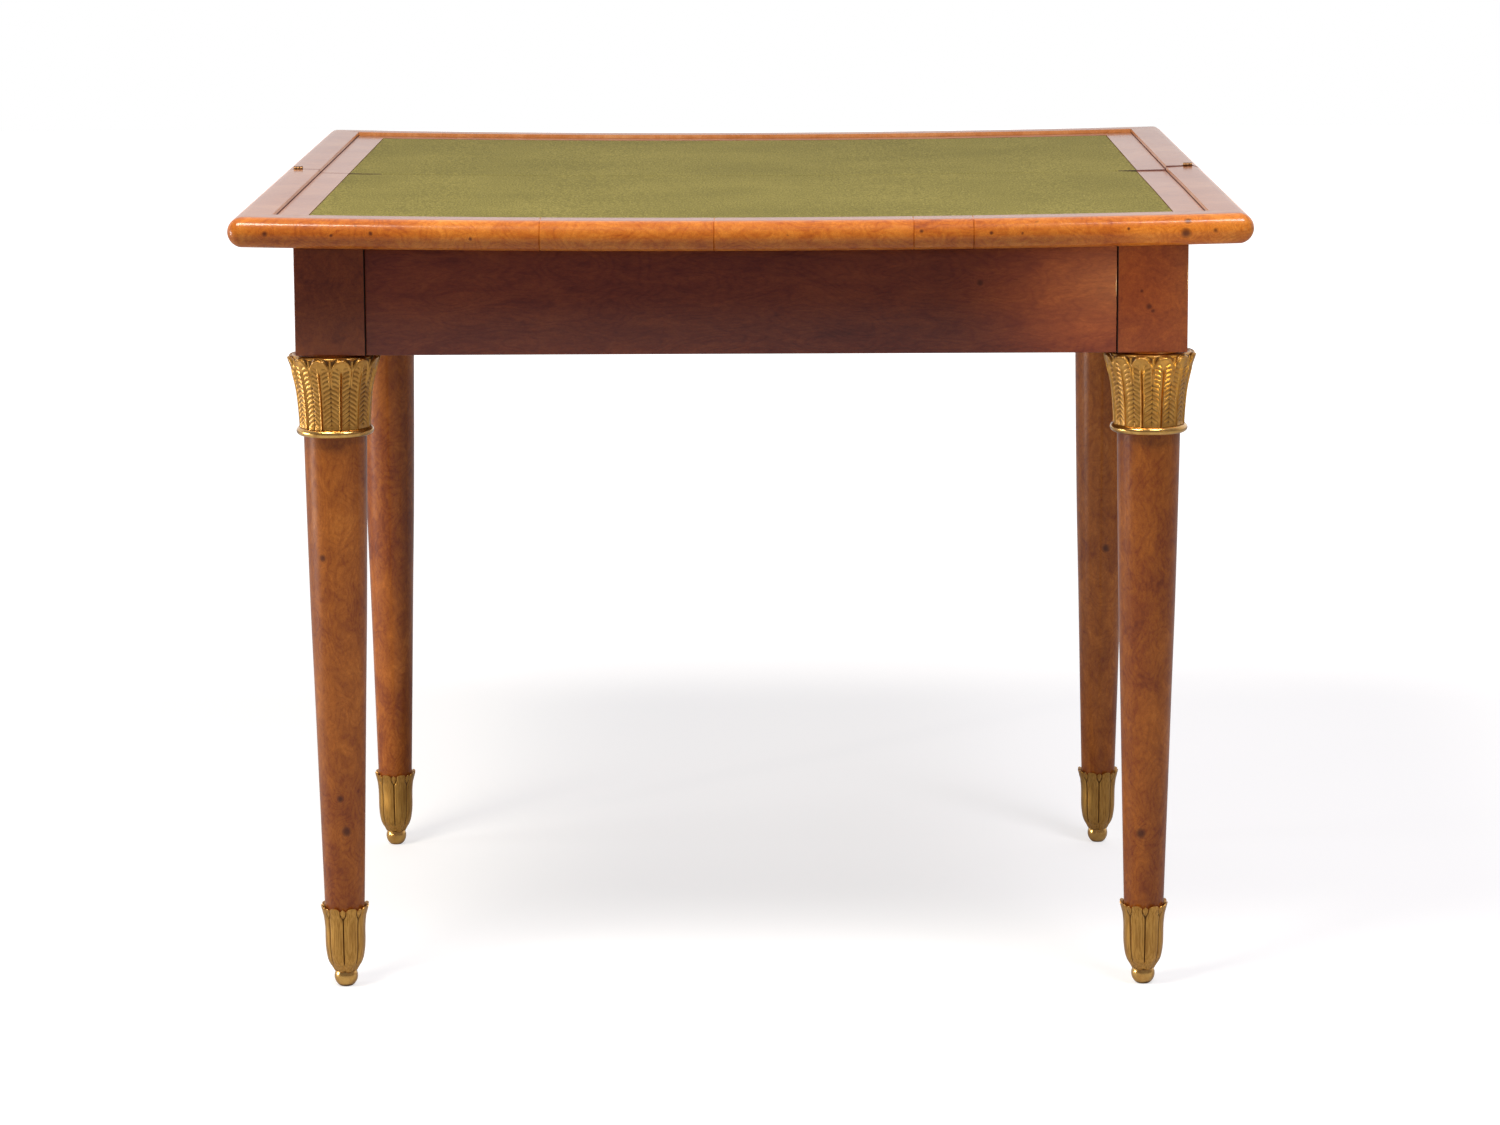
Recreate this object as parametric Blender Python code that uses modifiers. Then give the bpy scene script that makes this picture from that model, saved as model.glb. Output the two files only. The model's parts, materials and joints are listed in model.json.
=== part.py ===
"""Neoclassical games table with a fold-over top, shown open.

Metres, +Z up. The front faces -Y, the fold line of the open top lies at Y = 0, and the
origin is on the floor under the middle of the open top. The front leaf is fixed to the
front frame. The back leaf folds over onto it, and the back legs follow on side rails that
are made in two hinged halves, which fold inwards like a concertina.
"""

import math

import bmesh
import bpy
from mathutils import Matrix, Vector

# Top: two equal leaves with a rounded outer edge and a raised border
table_height = 0.740
top_width = 0.936
leaf_depth = 0.468
leaf_thickness = 0.028
nose_radius = 0.014
corner_radius = 0.012
border_flat_width = 0.0175
border_bevel_width = 0.0075
border_bevel_drop = 0.0046
border_step_drop = 0.0022
inner_strip_width = 0.029
baize_thickness = 0.0015

# Age has curled both leaves up a little towards their ends
bow_height = 0.0055
bow_strips = 13

# Frame
top_overhang = 0.055
apron_height = 0.1007
apron_thickness = 0.022
apron_recess = 0.002
post_width = 0.065
back_post_width = 0.070
leg_spread = 0.542
fixed_rail_length = 0.184
cross_rail_thickness = 0.022
cross_rail_drop = 0.014
brace_reach = 0.089
brace_thickness = 0.022
brace_height = 0.060
corner_block_reach = 0.036
glue_block_length = 0.070
glue_block_width = 0.018
glue_block_spacing = 0.360

# Legs, as a share of the height up to the apron and of the radius at the top
leg_top_radius = 0.0302
leg_girth_shares = ((1.0, 1.0), (0.864, 0.9735), (0.612, 0.884), (0.458, 0.798),
                    (0.304, 0.7185), (0.0, 0.5562))
back_leg_girth_share = 0.945

# Capital and collar of the front legs
capital_height = 0.068
capital_rim_radius = 0.042
capital_drop = 0.002
capital_leaves = 12
capital_leaf_relief = 0.0009
capital_tip_rise = 0.0022
capital_shares = ((1.0, 1.0), (0.93, 0.985), (0.79, 0.929), (0.515, 0.833), (0.243, 0.786), (0.0, 0.762))
collar_radius = 0.0362
collar_bead_radius = 0.0037

# Sabots and ball feet
sabot_height = 0.080
sabot_tip_radius = 0.0225
sabot_base_height = 0.015
sabot_floor_thickness = 0.009
sabot_shoulder_height = 0.069
sabot_wall = 0.0026
sabot_tips = 16
sabot_leaf_relief = 0.0006
sabot_tip_rise = 0.0016
sabot_shares = ((1.0, 1.0), (0.90, 0.920), (0.844, 0.880), (0.725, 0.840), (0.49, 0.825),
                (0.3125, 0.747), (0.25, 0.662))
sabot_base_radius = 0.0105
foot_ball_radius = 0.0112
foot_ball_centre_height = 0.0093
foot_shank_radius = 0.003

# Butt hinges: tall ones in the concertina rails, small ones in the top
rail_knuckle_radius = 0.0035
rail_pin_radius = 0.0015
rail_plate_width = 0.0155
rail_plate_thickness = 0.0015
rail_hinge_height = 0.060
leaf_knuckle_radius = 0.0025
leaf_pin_radius = 0.0010
leaf_plate_width = 0.016
leaf_plate_thickness = 0.0012
leaf_hinge_length = 0.009
leaf_hinge_inset = 0.017

# Clearances and how finely round things are divided
fit = 0.0003
joint_gap = 0.0003
pivot_proud = 0.0002
nose_segments = 8
corner_segments = 4
leg_sides = 24
collar_sides = 24
ball_sides = 16
knuckle_sides = 12
pin_sides = 8
cut_overrun = 0.001
weld_distance = 0.00001

# Levels and places that follow from the sizes
border_width = nose_radius + border_flat_width + border_bevel_width
strip_level = table_height - border_bevel_drop - border_step_drop
leaf_bottom = table_height - leaf_thickness
frame_top = leaf_bottom - fit
apron_bottom = frame_top - apron_height
apron_middle = (frame_top + apron_bottom) / 2
frame_side = top_width / 2 - top_overhang
frame_front = -(leaf_depth - top_overhang)
leg_x = frame_side - post_width / 2
front_leg_y = frame_front + post_width / 2
back_leg_x = frame_side - back_post_width / 2
back_leg_y = front_leg_y + leg_spread
back_post_front = back_leg_y - post_width / 2
rail_outside = frame_side - apron_recess
rail_inside = rail_outside - apron_thickness
rail_front = frame_front + post_width
front_pivot_y = rail_front + fixed_rail_length
middle_pivot_y = (front_pivot_y + back_post_front) / 2
inner_pivot_x = rail_inside - pivot_proud
outer_pivot_x = rail_outside + pivot_proud
sides = ((-1, "left"), (1, "right"))


def finish(name, colour, roughness, metallic=0.0):
    """A Principled material in the piece's own colour."""
    material = bpy.data.materials.new(name)
    material.use_nodes = True
    shader = material.node_tree.nodes["Principled BSDF"]
    shader.inputs["Base Color"].default_value = (*colour, 1.0)
    shader.inputs["Roughness"].default_value = roughness
    shader.inputs["Metallic"].default_value = metallic
    return material


def clear_scene():
    for item in list(bpy.data.objects):
        bpy.data.objects.remove(item, do_unlink=True)


clear_scene()
parts = bpy.data.collections.new("games_table")
cutters = bpy.data.collections.new("cutters")
bpy.context.scene.collection.children.link(parts)
bpy.context.scene.collection.children.link(cutters)

burr = finish("burr_veneer", (0.42, 0.16, 0.045), 0.32)
carcass = finish("carcass_wood", (0.36, 0.21, 0.10), 0.6)
cloth = finish("green_baize", (0.29, 0.25, 0.06), 0.95)
ormolu = finish("gilt_bronze", (0.55, 0.34, 0.10), 0.3, 1.0)
hinge_brass = finish("hinge_brass", (0.24, 0.16, 0.07), 0.45, 1.0)


def add_object(name, mesh, material, place=(0.0, 0.0, 0.0)):
    """Put a finished mesh into the model as one sub-part."""
    item = bpy.data.objects.new(name, mesh)
    item.location = place
    parts.objects.link(item)
    if not mesh.materials:
        mesh.materials.append(material)
    return item


def add_cutter(name, mesh, matrix=Matrix()):
    """A guide that other pieces are cut or joined by."""
    item = bpy.data.objects.new(name, mesh)
    item.matrix_world = matrix
    item.hide_render = True
    item.display_type = "WIRE"
    cutters.objects.link(item)
    return item


def combine(item, guide, operation="DIFFERENCE"):
    modifier = item.modifiers.new(guide.name, "BOOLEAN")
    modifier.operation = operation
    modifier.solver = "EXACT"
    modifier.object = guide


def mesh_from(bm, name):
    bmesh.ops.recalc_face_normals(bm, faces=bm.faces)
    mesh = bpy.data.meshes.new(name)
    bm.to_mesh(mesh)
    bm.free()
    return mesh


def evaluated_mesh(item, name):
    """The item's mesh with its modifiers applied and its seams welded; the item goes."""
    graph = bpy.context.evaluated_depsgraph_get()
    mesh = bpy.data.meshes.new_from_object(item.evaluated_get(graph))
    mesh.transform(item.matrix_world)
    bpy.data.objects.remove(item, do_unlink=True)
    bm = bmesh.new()
    bm.from_mesh(mesh)
    bmesh.ops.remove_doubles(bm, verts=bm.verts, dist=weld_distance)
    return mesh_from(bm, name)


def box_mesh(name, size, centre=(0.0, 0.0, 0.0)):
    bm = bmesh.new()
    bmesh.ops.create_cube(bm, size=1.0)
    bmesh.ops.scale(bm, verts=bm.verts, vec=size)
    bmesh.ops.translate(bm, verts=bm.verts, vec=centre)
    return mesh_from(bm, name)


def span_box(name, low, high):
    """A box from its lowest corner to its highest."""
    size = [high[i] - low[i] for i in range(3)]
    centre = [(high[i] + low[i]) / 2 for i in range(3)]
    return box_mesh(name, size, centre)


def prism_mesh(name, outline, low, high):
    """A flat outline in X and Y, thick from low to high in Z."""
    curve = bpy.data.curves.new(name, "CURVE")
    curve.dimensions = "2D"
    curve.fill_mode = "BOTH"
    curve.extrude = (high - low) / 2
    spline = curve.splines.new("POLY")
    spline.points.add(len(outline) - 1)
    for point, (x, y) in zip(spline.points, outline):
        point.co = (x, y, 0.0, 1.0)
    spline.use_cyclic_u = True
    item = bpy.data.objects.new(name, curve)
    item.location = (0.0, 0.0, (high + low) / 2)
    cutters.objects.link(item)
    bpy.context.view_layer.update()
    return evaluated_mesh(item, name)


def cylinder_mesh(name, radius, low, high, sides):
    bm = bmesh.new()
    bmesh.ops.create_cone(bm, cap_ends=True, segments=sides, radius1=radius, radius2=radius, depth=high - low)
    bmesh.ops.translate(bm, verts=bm.verts, vec=(0.0, 0.0, (high + low) / 2))
    return mesh_from(bm, name)


def turned_object(name, profile, sides, closed=False):
    """A profile of (radius, height) points, outer side from top to bottom, turned about Z."""
    mesh = bpy.data.meshes.new(name)
    points = [(radius, 0.0, height) for radius, height in profile]
    edges = [(i, i + 1) for i in range(len(points) - 1)]
    if closed:
        edges.append((len(points) - 1, 0))
    mesh.from_pydata(points, edges, [])
    item = bpy.data.objects.new(name, mesh)
    screw = item.modifiers.new("turning", "SCREW")
    screw.steps = sides
    screw.render_steps = sides
    screw.use_merge_vertices = True
    screw.merge_threshold = weld_distance
    cutters.objects.link(item)
    bpy.context.view_layer.update()
    return item


def turned_mesh(name, profile, sides, closed=False):
    mesh = evaluated_mesh(turned_object(name, profile, sides, closed), name)
    mesh.shade_smooth()
    mesh.set_sharp_from_angle(angle=math.radians(35))
    return mesh


def carve_leaves(mesh, count, relief, rise, low, high, bore):
    """Swell each leaf of a turned cup on its outside, and lift its tip near the rim only."""
    for vertex in mesh.vertices:
        radius = math.hypot(vertex.co.x, vertex.co.y)
        if radius < bore(vertex.co.z) + relief:
            continue
        wave = math.cos(count * math.atan2(vertex.co.y, vertex.co.x))
        height_share = (vertex.co.z - low) / (high - low)
        swell = 1.0 + relief * wave / radius
        vertex.co.x *= swell
        vertex.co.y *= swell
        vertex.co.z += rise * wave * max(height_share, 0.0) ** 6


def hang(child, parent):
    """Parent a piece and leave it where it is. Every location here is a world one at rest."""
    child.parent = parent
    child.matrix_parent_inverse = Matrix.Translation(parent.location).inverted()


def pivot(name, place, parent=None):
    empty = bpy.data.objects.new(name, None)
    empty.location = place
    empty.empty_display_size = apron_thickness
    parts.objects.link(empty)
    if parent:
        hang(empty, parent)
    return empty


def bow_rise(x):
    """How far the curled leaf stands above its middle: a parabola, straight in each strip."""
    strip = top_width / bow_strips
    left = math.floor((x + top_width / 2) / strip) * strip - top_width / 2
    right = left + strip
    share = (x - left) / strip
    left_rise, right_rise = ((2 * edge / top_width) ** 2 for edge in (left, right))
    return bow_height * (left_rise * (1 - share) + right_rise * share)


def bow(mesh):
    """Divide a leaf's piece into strips and curl it."""
    bm = bmesh.new()
    bm.from_mesh(mesh)
    for number in range(1, bow_strips):
        x = (number / bow_strips - 0.5) * top_width
        geometry = bm.verts[:] + bm.edges[:] + bm.faces[:]
        bmesh.ops.bisect_plane(bm, geom=geometry, plane_co=(x, 0, 0), plane_no=(1, 0, 0), dist=weld_distance)
    for vertex in bm.verts:
        vertex.co.z += bow_rise(vertex.co.x)
    bm.to_mesh(mesh)
    bm.free()
    return mesh


def leg_radius(height, girth=1.0):
    """The tapering leg's radius at a height over the floor."""
    share = height / apron_bottom
    for (upper, upper_radius), (lower, lower_radius) in zip(leg_girth_shares, leg_girth_shares[1:]):
        if share >= lower:
            along = (share - lower) / (upper - lower)
            return girth * leg_top_radius * (lower_radius + along * (upper_radius - lower_radius))
    return girth * leg_top_radius * leg_girth_shares[-1][1]


def border_section():
    """The moulding's outline: distance in from the outer edge, and height over the floor."""
    section = []
    for number in range(nose_segments + 1):
        turn = math.pi * number / nose_segments
        section.append((nose_radius - nose_radius * math.sin(turn),
                        table_height - leaf_thickness / 2 - leaf_thickness / 2 * math.cos(turn)))
    section.append((nose_radius + border_flat_width, table_height))
    section.append((border_width, table_height - border_bevel_drop))
    section.append((border_width, leaf_bottom))
    return section


def corner_place(inset, turn):
    """A point of the leaf's right-hand outer corner, in from the edge, at a turn from +X to the front."""
    radius = max(corner_radius - inset, 0.0)
    away = max(corner_radius, inset)
    return (top_width / 2 - away + radius * math.cos(turn), leaf_depth - away + radius * math.sin(turn))


def moulding_mesh(name, stations):
    """Loft the border's section through stations; each is a function from inset to (x, depth)."""
    bm = bmesh.new()
    rings = []
    for station in stations:
        ring = []
        for inset, height in border_section():
            x, depth = station(inset)
            ring.append(bm.verts.new((x, depth, height)))
        rings.append(ring)
    count = len(rings[0])
    for ring, following in zip(rings, rings[1:]):
        for i in range(count):
            bm.faces.new((ring[i], ring[(i + 1) % count], following[(i + 1) % count], following[i]))
    bm.faces.new(rings[0])
    bm.faces.new(rings[-1])
    bmesh.ops.remove_doubles(bm, verts=bm.verts, dist=weld_distance)
    bmesh.ops.dissolve_degenerate(bm, edges=bm.edges, dist=weld_distance)
    return mesh_from(bm, name)


def side_moulding_mesh(name, side):
    """The border along an end of the leaf, from the fold to the mitre."""
    turns = [math.pi / 4 * number / corner_segments for number in range(corner_segments + 1)]
    stations = [lambda inset: (side * (top_width / 2 - inset), joint_gap / 2)]
    for turn in turns:
        stations.append(lambda inset, turn=turn: (
            side * corner_place(inset, turn)[0], corner_place(inset, turn)[1] - joint_gap / 2))
    return moulding_mesh(name, stations)


def long_moulding_mesh(name):
    """The border along the long outer edge of the leaf, from mitre to mitre."""
    turns = [math.pi / 4 * (1 + number / corner_segments) for number in range(corner_segments + 1)]
    stations = []
    for side in (1, -1):
        for turn in turns[::side]:
            stations.append(lambda inset, turn=turn, side=side: (
                side * (corner_place(inset, turn)[0] - joint_gap / 2), corner_place(inset, turn)[1]))
    return moulding_mesh(name, stations)


def core_mesh(name):
    """The panel inside the border, with a shallow recess for the baize."""
    half_width = top_width / 2 - border_width - joint_gap
    outer = leaf_depth - border_width - joint_gap
    slab = add_object(name, span_box(name, (-half_width, joint_gap / 2, leaf_bottom),
                                     (half_width, outer, strip_level)), burr)
    recess_half = half_width - inner_strip_width
    recess = add_cutter(name + "_recess", span_box(
        name + "_recess", (-recess_half, -cut_overrun, strip_level - baize_thickness),
        (recess_half, outer - inner_strip_width, strip_level + cut_overrun)))
    combine(slab, recess)
    bpy.context.view_layer.update()
    return evaluated_mesh(slab, name)


def baize_mesh(name):
    half_width = top_width / 2 - border_width - joint_gap - inner_strip_width - fit
    outer = leaf_depth - border_width - joint_gap - inner_strip_width - fit
    return span_box(name, (-half_width, joint_gap / 2, strip_level - baize_thickness + fit),
                    (half_width, outer, strip_level))


def turn_over(mesh):
    """Depth runs to +Y in the leaf's meshes. The front leaf's are mirrored to -Y."""
    mesh.transform(Matrix.Diagonal((1, -1, 1, 1)))
    mesh.flip_normals()
    return mesh


def make_leaf(prefix, facing):
    """The pieces of one leaf; facing is -1 for the front leaf and 1 for the back leaf."""
    long_name = prefix + ("_front_moulding" if facing < 0 else "_back_moulding")
    meshes = {
        prefix + "_core": (core_mesh(prefix + "_core"), burr),
        long_name: (long_moulding_mesh(long_name), burr),
        prefix + "_left_moulding": (side_moulding_mesh(prefix + "_left_moulding", -1), burr),
        prefix + "_right_moulding": (side_moulding_mesh(prefix + "_right_moulding", 1), burr),
        prefix + "_baize": (baize_mesh(prefix + "_baize"), cloth),
    }
    pieces = {}
    for name, (mesh, material) in meshes.items():
        if facing < 0:
            turn_over(mesh)
        pieces[name] = add_object(name, bow(mesh), material)
    return pieces


fold_axis_height = table_height + bow_rise(top_width / 2 - nose_radius) + pivot_proud
leaf_axis = pivot("leaf_fold_axis", (0.0, 0.0, fold_axis_height))
front_leaf = make_leaf("front_leaf", -1)
back_leaf = make_leaf("back_leaf", 1)
for piece in back_leaf.values():
    hang(piece, leaf_axis)


class Hinge:
    """A butt hinge in its own frame: the pin runs up Z from 0, the plates reach out along +X,
    the fixed plate on the -Y side of the joint and the moving plate on the +Y side."""

    def __init__(self, knuckle, pin, width, thickness, height):
        self.knuckle = knuckle
        self.pin = pin
        self.width = width
        self.thickness = thickness
        self.height = height
        self.third = height / 3
        self.notch = knuckle + fit
        self.bore = pin + fit

    def comb(self, ends):
        """The plate's outline in X and Z, reaching the pin at its ends or in its middle."""
        low = self.third - fit / 2
        high = 2 * self.third + fit / 2
        if ends:
            return [(0, 0), (self.width, 0), (self.width, self.height), (0, self.height),
                    (0, high), (self.notch, high), (self.notch, low), (0, low)]
        low, high = low + fit, high - fit
        return [(self.notch, 0), (self.width, 0), (self.width, self.height), (self.notch, self.height),
                (self.notch, high), (0, high), (0, low), (self.notch, low)]

    def plate_mesh(self, name, ends, matrix):
        """One plate in the table's frame. The pin is riveted into the two end knuckles of the
        fixed plate, and the moving plate's middle knuckle is bored to turn on it."""
        side = -1 if ends else 1
        near, far = joint_gap / 2, joint_gap / 2 + self.thickness
        low, high = sorted((side * near, side * far))
        plate = prism_mesh(name, self.comb(ends), low, high)
        plate.transform(Matrix.Rotation(math.pi / 2, 4, "X"))
        plate.transform(Matrix.Translation((0.0, (low + high), 0.0)))
        item = add_object(name, plate, hinge_brass)
        spans = [(0.0, self.third - fit / 2), (2 * self.third + fit / 2, self.height)]
        if not ends:
            spans = [(self.third + fit / 2, 2 * self.third - fit / 2)]
        for number, (start, end) in enumerate(spans):
            barrel = cylinder_mesh(name + "_barrel", self.knuckle, start, end, knuckle_sides)
            combine(item, add_cutter(f"{name}_barrel_{number}", barrel), "UNION")
        if ends:
            rivet = cylinder_mesh(name + "_pin", self.pin, self.third / 2,
                                  self.height - self.third / 2, pin_sides)
            combine(item, add_cutter(name + "_pin", rivet), "UNION")
        else:
            bore = cylinder_mesh(name + "_bore", self.bore, self.third - cut_overrun,
                                 2 * self.third + cut_overrun, pin_sides)
            combine(item, add_cutter(name + "_bore", bore))
        bpy.context.view_layer.update()
        mesh = evaluated_mesh(item, name)
        mesh.transform(matrix)
        return mesh

    def pocket_cutter(self, name, matrix):
        """The housing that both neighbours are cut by: a slot for the plates round the barrel."""
        radius = self.knuckle + 2 * fit
        half_slot = joint_gap / 2 + self.thickness + fit
        start = math.asin(half_slot / radius)
        outline = [(self.width + fit, half_slot), (self.width + fit, -half_slot)][::-1]
        for number in range(knuckle_sides + 1):
            turn = start + (2 * math.pi - 2 * start) * number / knuckle_sides
            outline.append((radius * math.cos(turn), radius * math.sin(turn)))
        mesh = prism_mesh(name, outline, -fit, self.height + fit)
        return add_cutter(name, mesh, matrix)


def axes_matrix(place, x_axis, z_axis):
    x_axis, z_axis = Vector(x_axis), Vector(z_axis)
    matrix = Matrix((x_axis, z_axis.cross(x_axis), z_axis)).transposed().to_4x4()
    return Matrix.Translation(place) @ matrix


def add_plate(hinge, name, ends, matrix, axis=None):
    plate = add_object(name, hinge.plate_mesh(name, ends, matrix), hinge_brass)
    if axis:
        hang(plate, axis)


def leaf_hinges():
    """Small butt hinges let into the fold faces near both ends of the top."""
    hinge = Hinge(leaf_knuckle_radius, leaf_pin_radius, leaf_plate_width,
                  leaf_plate_thickness, leaf_hinge_length)
    for side, word in sides:
        start = side * (top_width / 2 - leaf_hinge_inset) - leaf_hinge_length / 2
        matrix = axes_matrix((start, 0.0, fold_axis_height), (0, 0, -1), (1, 0, 0))
        pocket = hinge.pocket_cutter(f"leaf_hinge_pocket_{word}", matrix)
        combine(front_leaf[f"front_leaf_{word}_moulding"], pocket)
        combine(back_leaf[f"back_leaf_{word}_moulding"], pocket)
        add_plate(hinge, f"leaf_hinge_front_plate_{word}", True, matrix)
        add_plate(hinge, f"leaf_hinge_back_plate_{word}", False, matrix, leaf_axis)


leaf_hinges()


def leg_mesh(name, girth):
    """The turned leg with the pin that stands in its sabot, about its own axis."""
    shoulder = leg_radius(sabot_shoulder_height, girth)
    foot = sabot_base_height + sabot_floor_thickness + fit
    inside_post = apron_bottom + post_width / 4
    profile = [(0.0, inside_post), (leg_radius(apron_bottom, girth), inside_post)]
    for share, _ in leg_girth_shares[1:-1]:
        profile.append((leg_radius(share * apron_bottom, girth), share * apron_bottom))
    profile.append((shoulder, sabot_shoulder_height))
    profile.append((shoulder - sabot_wall, sabot_shoulder_height))
    profile.append((leg_radius(foot, girth) - sabot_wall, foot))
    profile.append((0.0, foot))
    return turned_mesh(name, profile, leg_sides)


def make_leg(name, place, post_size, girth):
    """A round leg that carries its square post."""
    leg = add_object(name, leg_mesh(name, girth), burr, place)
    centre = (0.0, 0.0, apron_middle)
    post = add_cutter(name + "_post", box_mesh(name + "_post", (*post_size, apron_height), centre),
                      Matrix.Translation(place))
    combine(leg, post, "UNION")
    return leg


def sabot_mesh(name, girth):
    """The leafy bronze cup round the leg's foot."""
    def bore(height):
        wall = 0.0 if height >= sabot_shoulder_height - fit else sabot_wall
        return leg_radius(height, girth) - wall + fit

    floor = sabot_base_height + sabot_floor_thickness
    profile = [(girth * share_r * sabot_tip_radius, share_z * sabot_height)
               for share_z, share_r in sabot_shares]
    profile.append((girth * sabot_base_radius, sabot_base_height))
    profile.append((foot_shank_radius + fit, sabot_base_height))
    profile.append((foot_shank_radius + fit, floor))
    profile.append((leg_radius(floor, girth) - sabot_wall + fit, floor))
    ledge = sabot_shoulder_height - fit
    profile.append((leg_radius(ledge, girth) - sabot_wall + fit, ledge))
    profile.append((leg_radius(ledge, girth) + fit, ledge))
    profile.append((leg_radius(sabot_height, girth) + fit, sabot_height - sabot_tip_rise))
    mesh = turned_mesh(name, profile, 2 * sabot_tips, closed=True)
    carve_leaves(mesh, sabot_tips, sabot_leaf_relief, sabot_tip_rise, sabot_base_height, sabot_height, bore)
    return mesh


def ball_mesh(name, girth):
    """A ball foot with a flat to stand on and a shank that screws up through the sabot."""
    radius = foot_ball_radius
    top = sabot_base_height - fit
    shank_top = sabot_base_height + sabot_floor_thickness - fit
    start = math.asin((top - foot_ball_centre_height) / radius)
    end = -math.asin(foot_ball_centre_height / radius)
    profile = [(0.0, shank_top), (foot_shank_radius, shank_top), (foot_shank_radius, top)]
    steps = ball_sides // 2
    for number in range(steps + 1):
        turn = start + (end - start) * number / steps
        height = foot_ball_centre_height + radius * math.sin(turn)
        profile.append((girth * radius * math.cos(turn), max(height, 0.0)))
    profile.append((0.0, 0.0))
    return turned_mesh(name, profile, ball_sides)


def capital_mesh(name):
    """The flared bronze capital: a ring of leaves round the top of a front leg."""
    rim = apron_bottom - capital_drop
    base = rim - capital_height

    def bore(height):
        return leg_radius(height) + fit

    profile = [(share_r * capital_rim_radius, base + share_z * capital_height)
               for share_z, share_r in capital_shares]
    profile.append((bore(base), base))
    profile.append((bore(rim), rim - capital_tip_rise))
    mesh = turned_mesh(name, profile, 4 * capital_leaves, closed=True)
    carve_leaves(mesh, capital_leaves, capital_leaf_relief, capital_tip_rise / 2, base, rim, bore)
    return mesh


def collar_mesh(name):
    """A polished half-round ring on the leg, under the capital."""
    centre_height = apron_bottom - capital_drop - capital_height - fit - collar_bead_radius
    middle = collar_radius - collar_bead_radius
    bore = leg_radius(centre_height + collar_bead_radius) + fit
    reach = math.acos((bore - middle) / collar_bead_radius)
    profile = []
    steps = 2 * corner_segments
    for number in range(steps + 1):
        turn = reach - 2 * reach * number / steps
        profile.append((middle + collar_bead_radius * math.cos(turn),
                        centre_height + collar_bead_radius * math.sin(turn)))
    return turned_mesh(name, profile, collar_sides, closed=True)


hinge_base = apron_middle - rail_hinge_height / 2
rail_hinge = Hinge(rail_knuckle_radius, rail_pin_radius, rail_plate_width,
                   rail_plate_thickness, rail_hinge_height)
capital = capital_mesh("capital")
collar = collar_mesh("collar")
front_sabot = sabot_mesh("front_sabot", 1.0)
back_sabot = sabot_mesh("back_sabot", back_leg_girth_share)
front_ball = ball_mesh("front_ball", 1.0)
back_ball = ball_mesh("back_ball", back_leg_girth_share)

# Front frame
front_legs = {}
for side, word in sides:
    place = (side * leg_x, front_leg_y, 0.0)
    front_legs[side] = make_leg(f"front_leg_{word}", place, (post_width, post_width), 1.0)
    add_object(f"capital_{word}", capital, ormolu, place)
    add_object(f"collar_{word}", collar, ormolu, place)
    add_object(f"sabot_front_{word}", front_sabot, ormolu, place)
    add_object(f"foot_ball_front_{word}", front_ball, ormolu, place)

apron_reach = leg_x - post_width / 2 - fit
apron_size = (2 * apron_reach, apron_thickness, apron_height)
apron_y = frame_front + apron_recess + apron_thickness / 2
add_object("front_apron", box_mesh("front_apron", apron_size), burr, (0.0, apron_y, apron_middle))

cross_back = front_pivot_y - rail_knuckle_radius - fit
cross_low = (-rail_inside + fit, cross_back - cross_rail_thickness, apron_bottom + cross_rail_drop)
cross_mesh = span_box("cross_rail", cross_low, (rail_inside - fit, cross_back, frame_top))
add_object("cross_rail", cross_mesh, carcass)


def brace_mesh(name, side):
    """A diagonal brace across a front corner, from the apron to the side rail."""
    inside = rail_inside - fit
    front = frame_front + apron_recess + apron_thickness + fit
    far = brace_reach + brace_thickness * math.sqrt(2)
    outline = [(inside, front + brace_reach), (inside, front + far), (inside - far, front),
               (inside - brace_reach, front)]
    outline = [(side * x, y) for x, y in outline]
    return prism_mesh(name, outline, apron_middle - brace_height / 2, apron_middle + brace_height / 2)


def corner_block_mesh(name, side):
    """A three-cornered block between a back post and the back apron."""
    outer = back_leg_x - back_post_width / 2 - fit
    back = back_leg_y + post_width / 2 - apron_recess - apron_thickness - fit
    outline = [(side * outer, back), (side * (outer - corner_block_reach), back),
               (side * outer, back - corner_block_reach)]
    return prism_mesh(name, outline, apron_middle - brace_height / 2, apron_middle + brace_height / 2)


def glue_block_mesh(name, x):
    """A block rubbed into the angle between the front apron and the leaf."""
    y = frame_front + apron_recess + apron_thickness + fit + glue_block_width / 2
    z = frame_top - glue_block_width / 2
    return box_mesh(name, (glue_block_length, glue_block_width, glue_block_width), (x, y, z))


for side, word in sides:
    add_object(f"corner_brace_{word}", brace_mesh(f"corner_brace_{word}", side), carcass)
    block = f"glue_block_{word}"
    add_object(block, glue_block_mesh(block, side * glue_block_spacing / 2), carcass)

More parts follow.
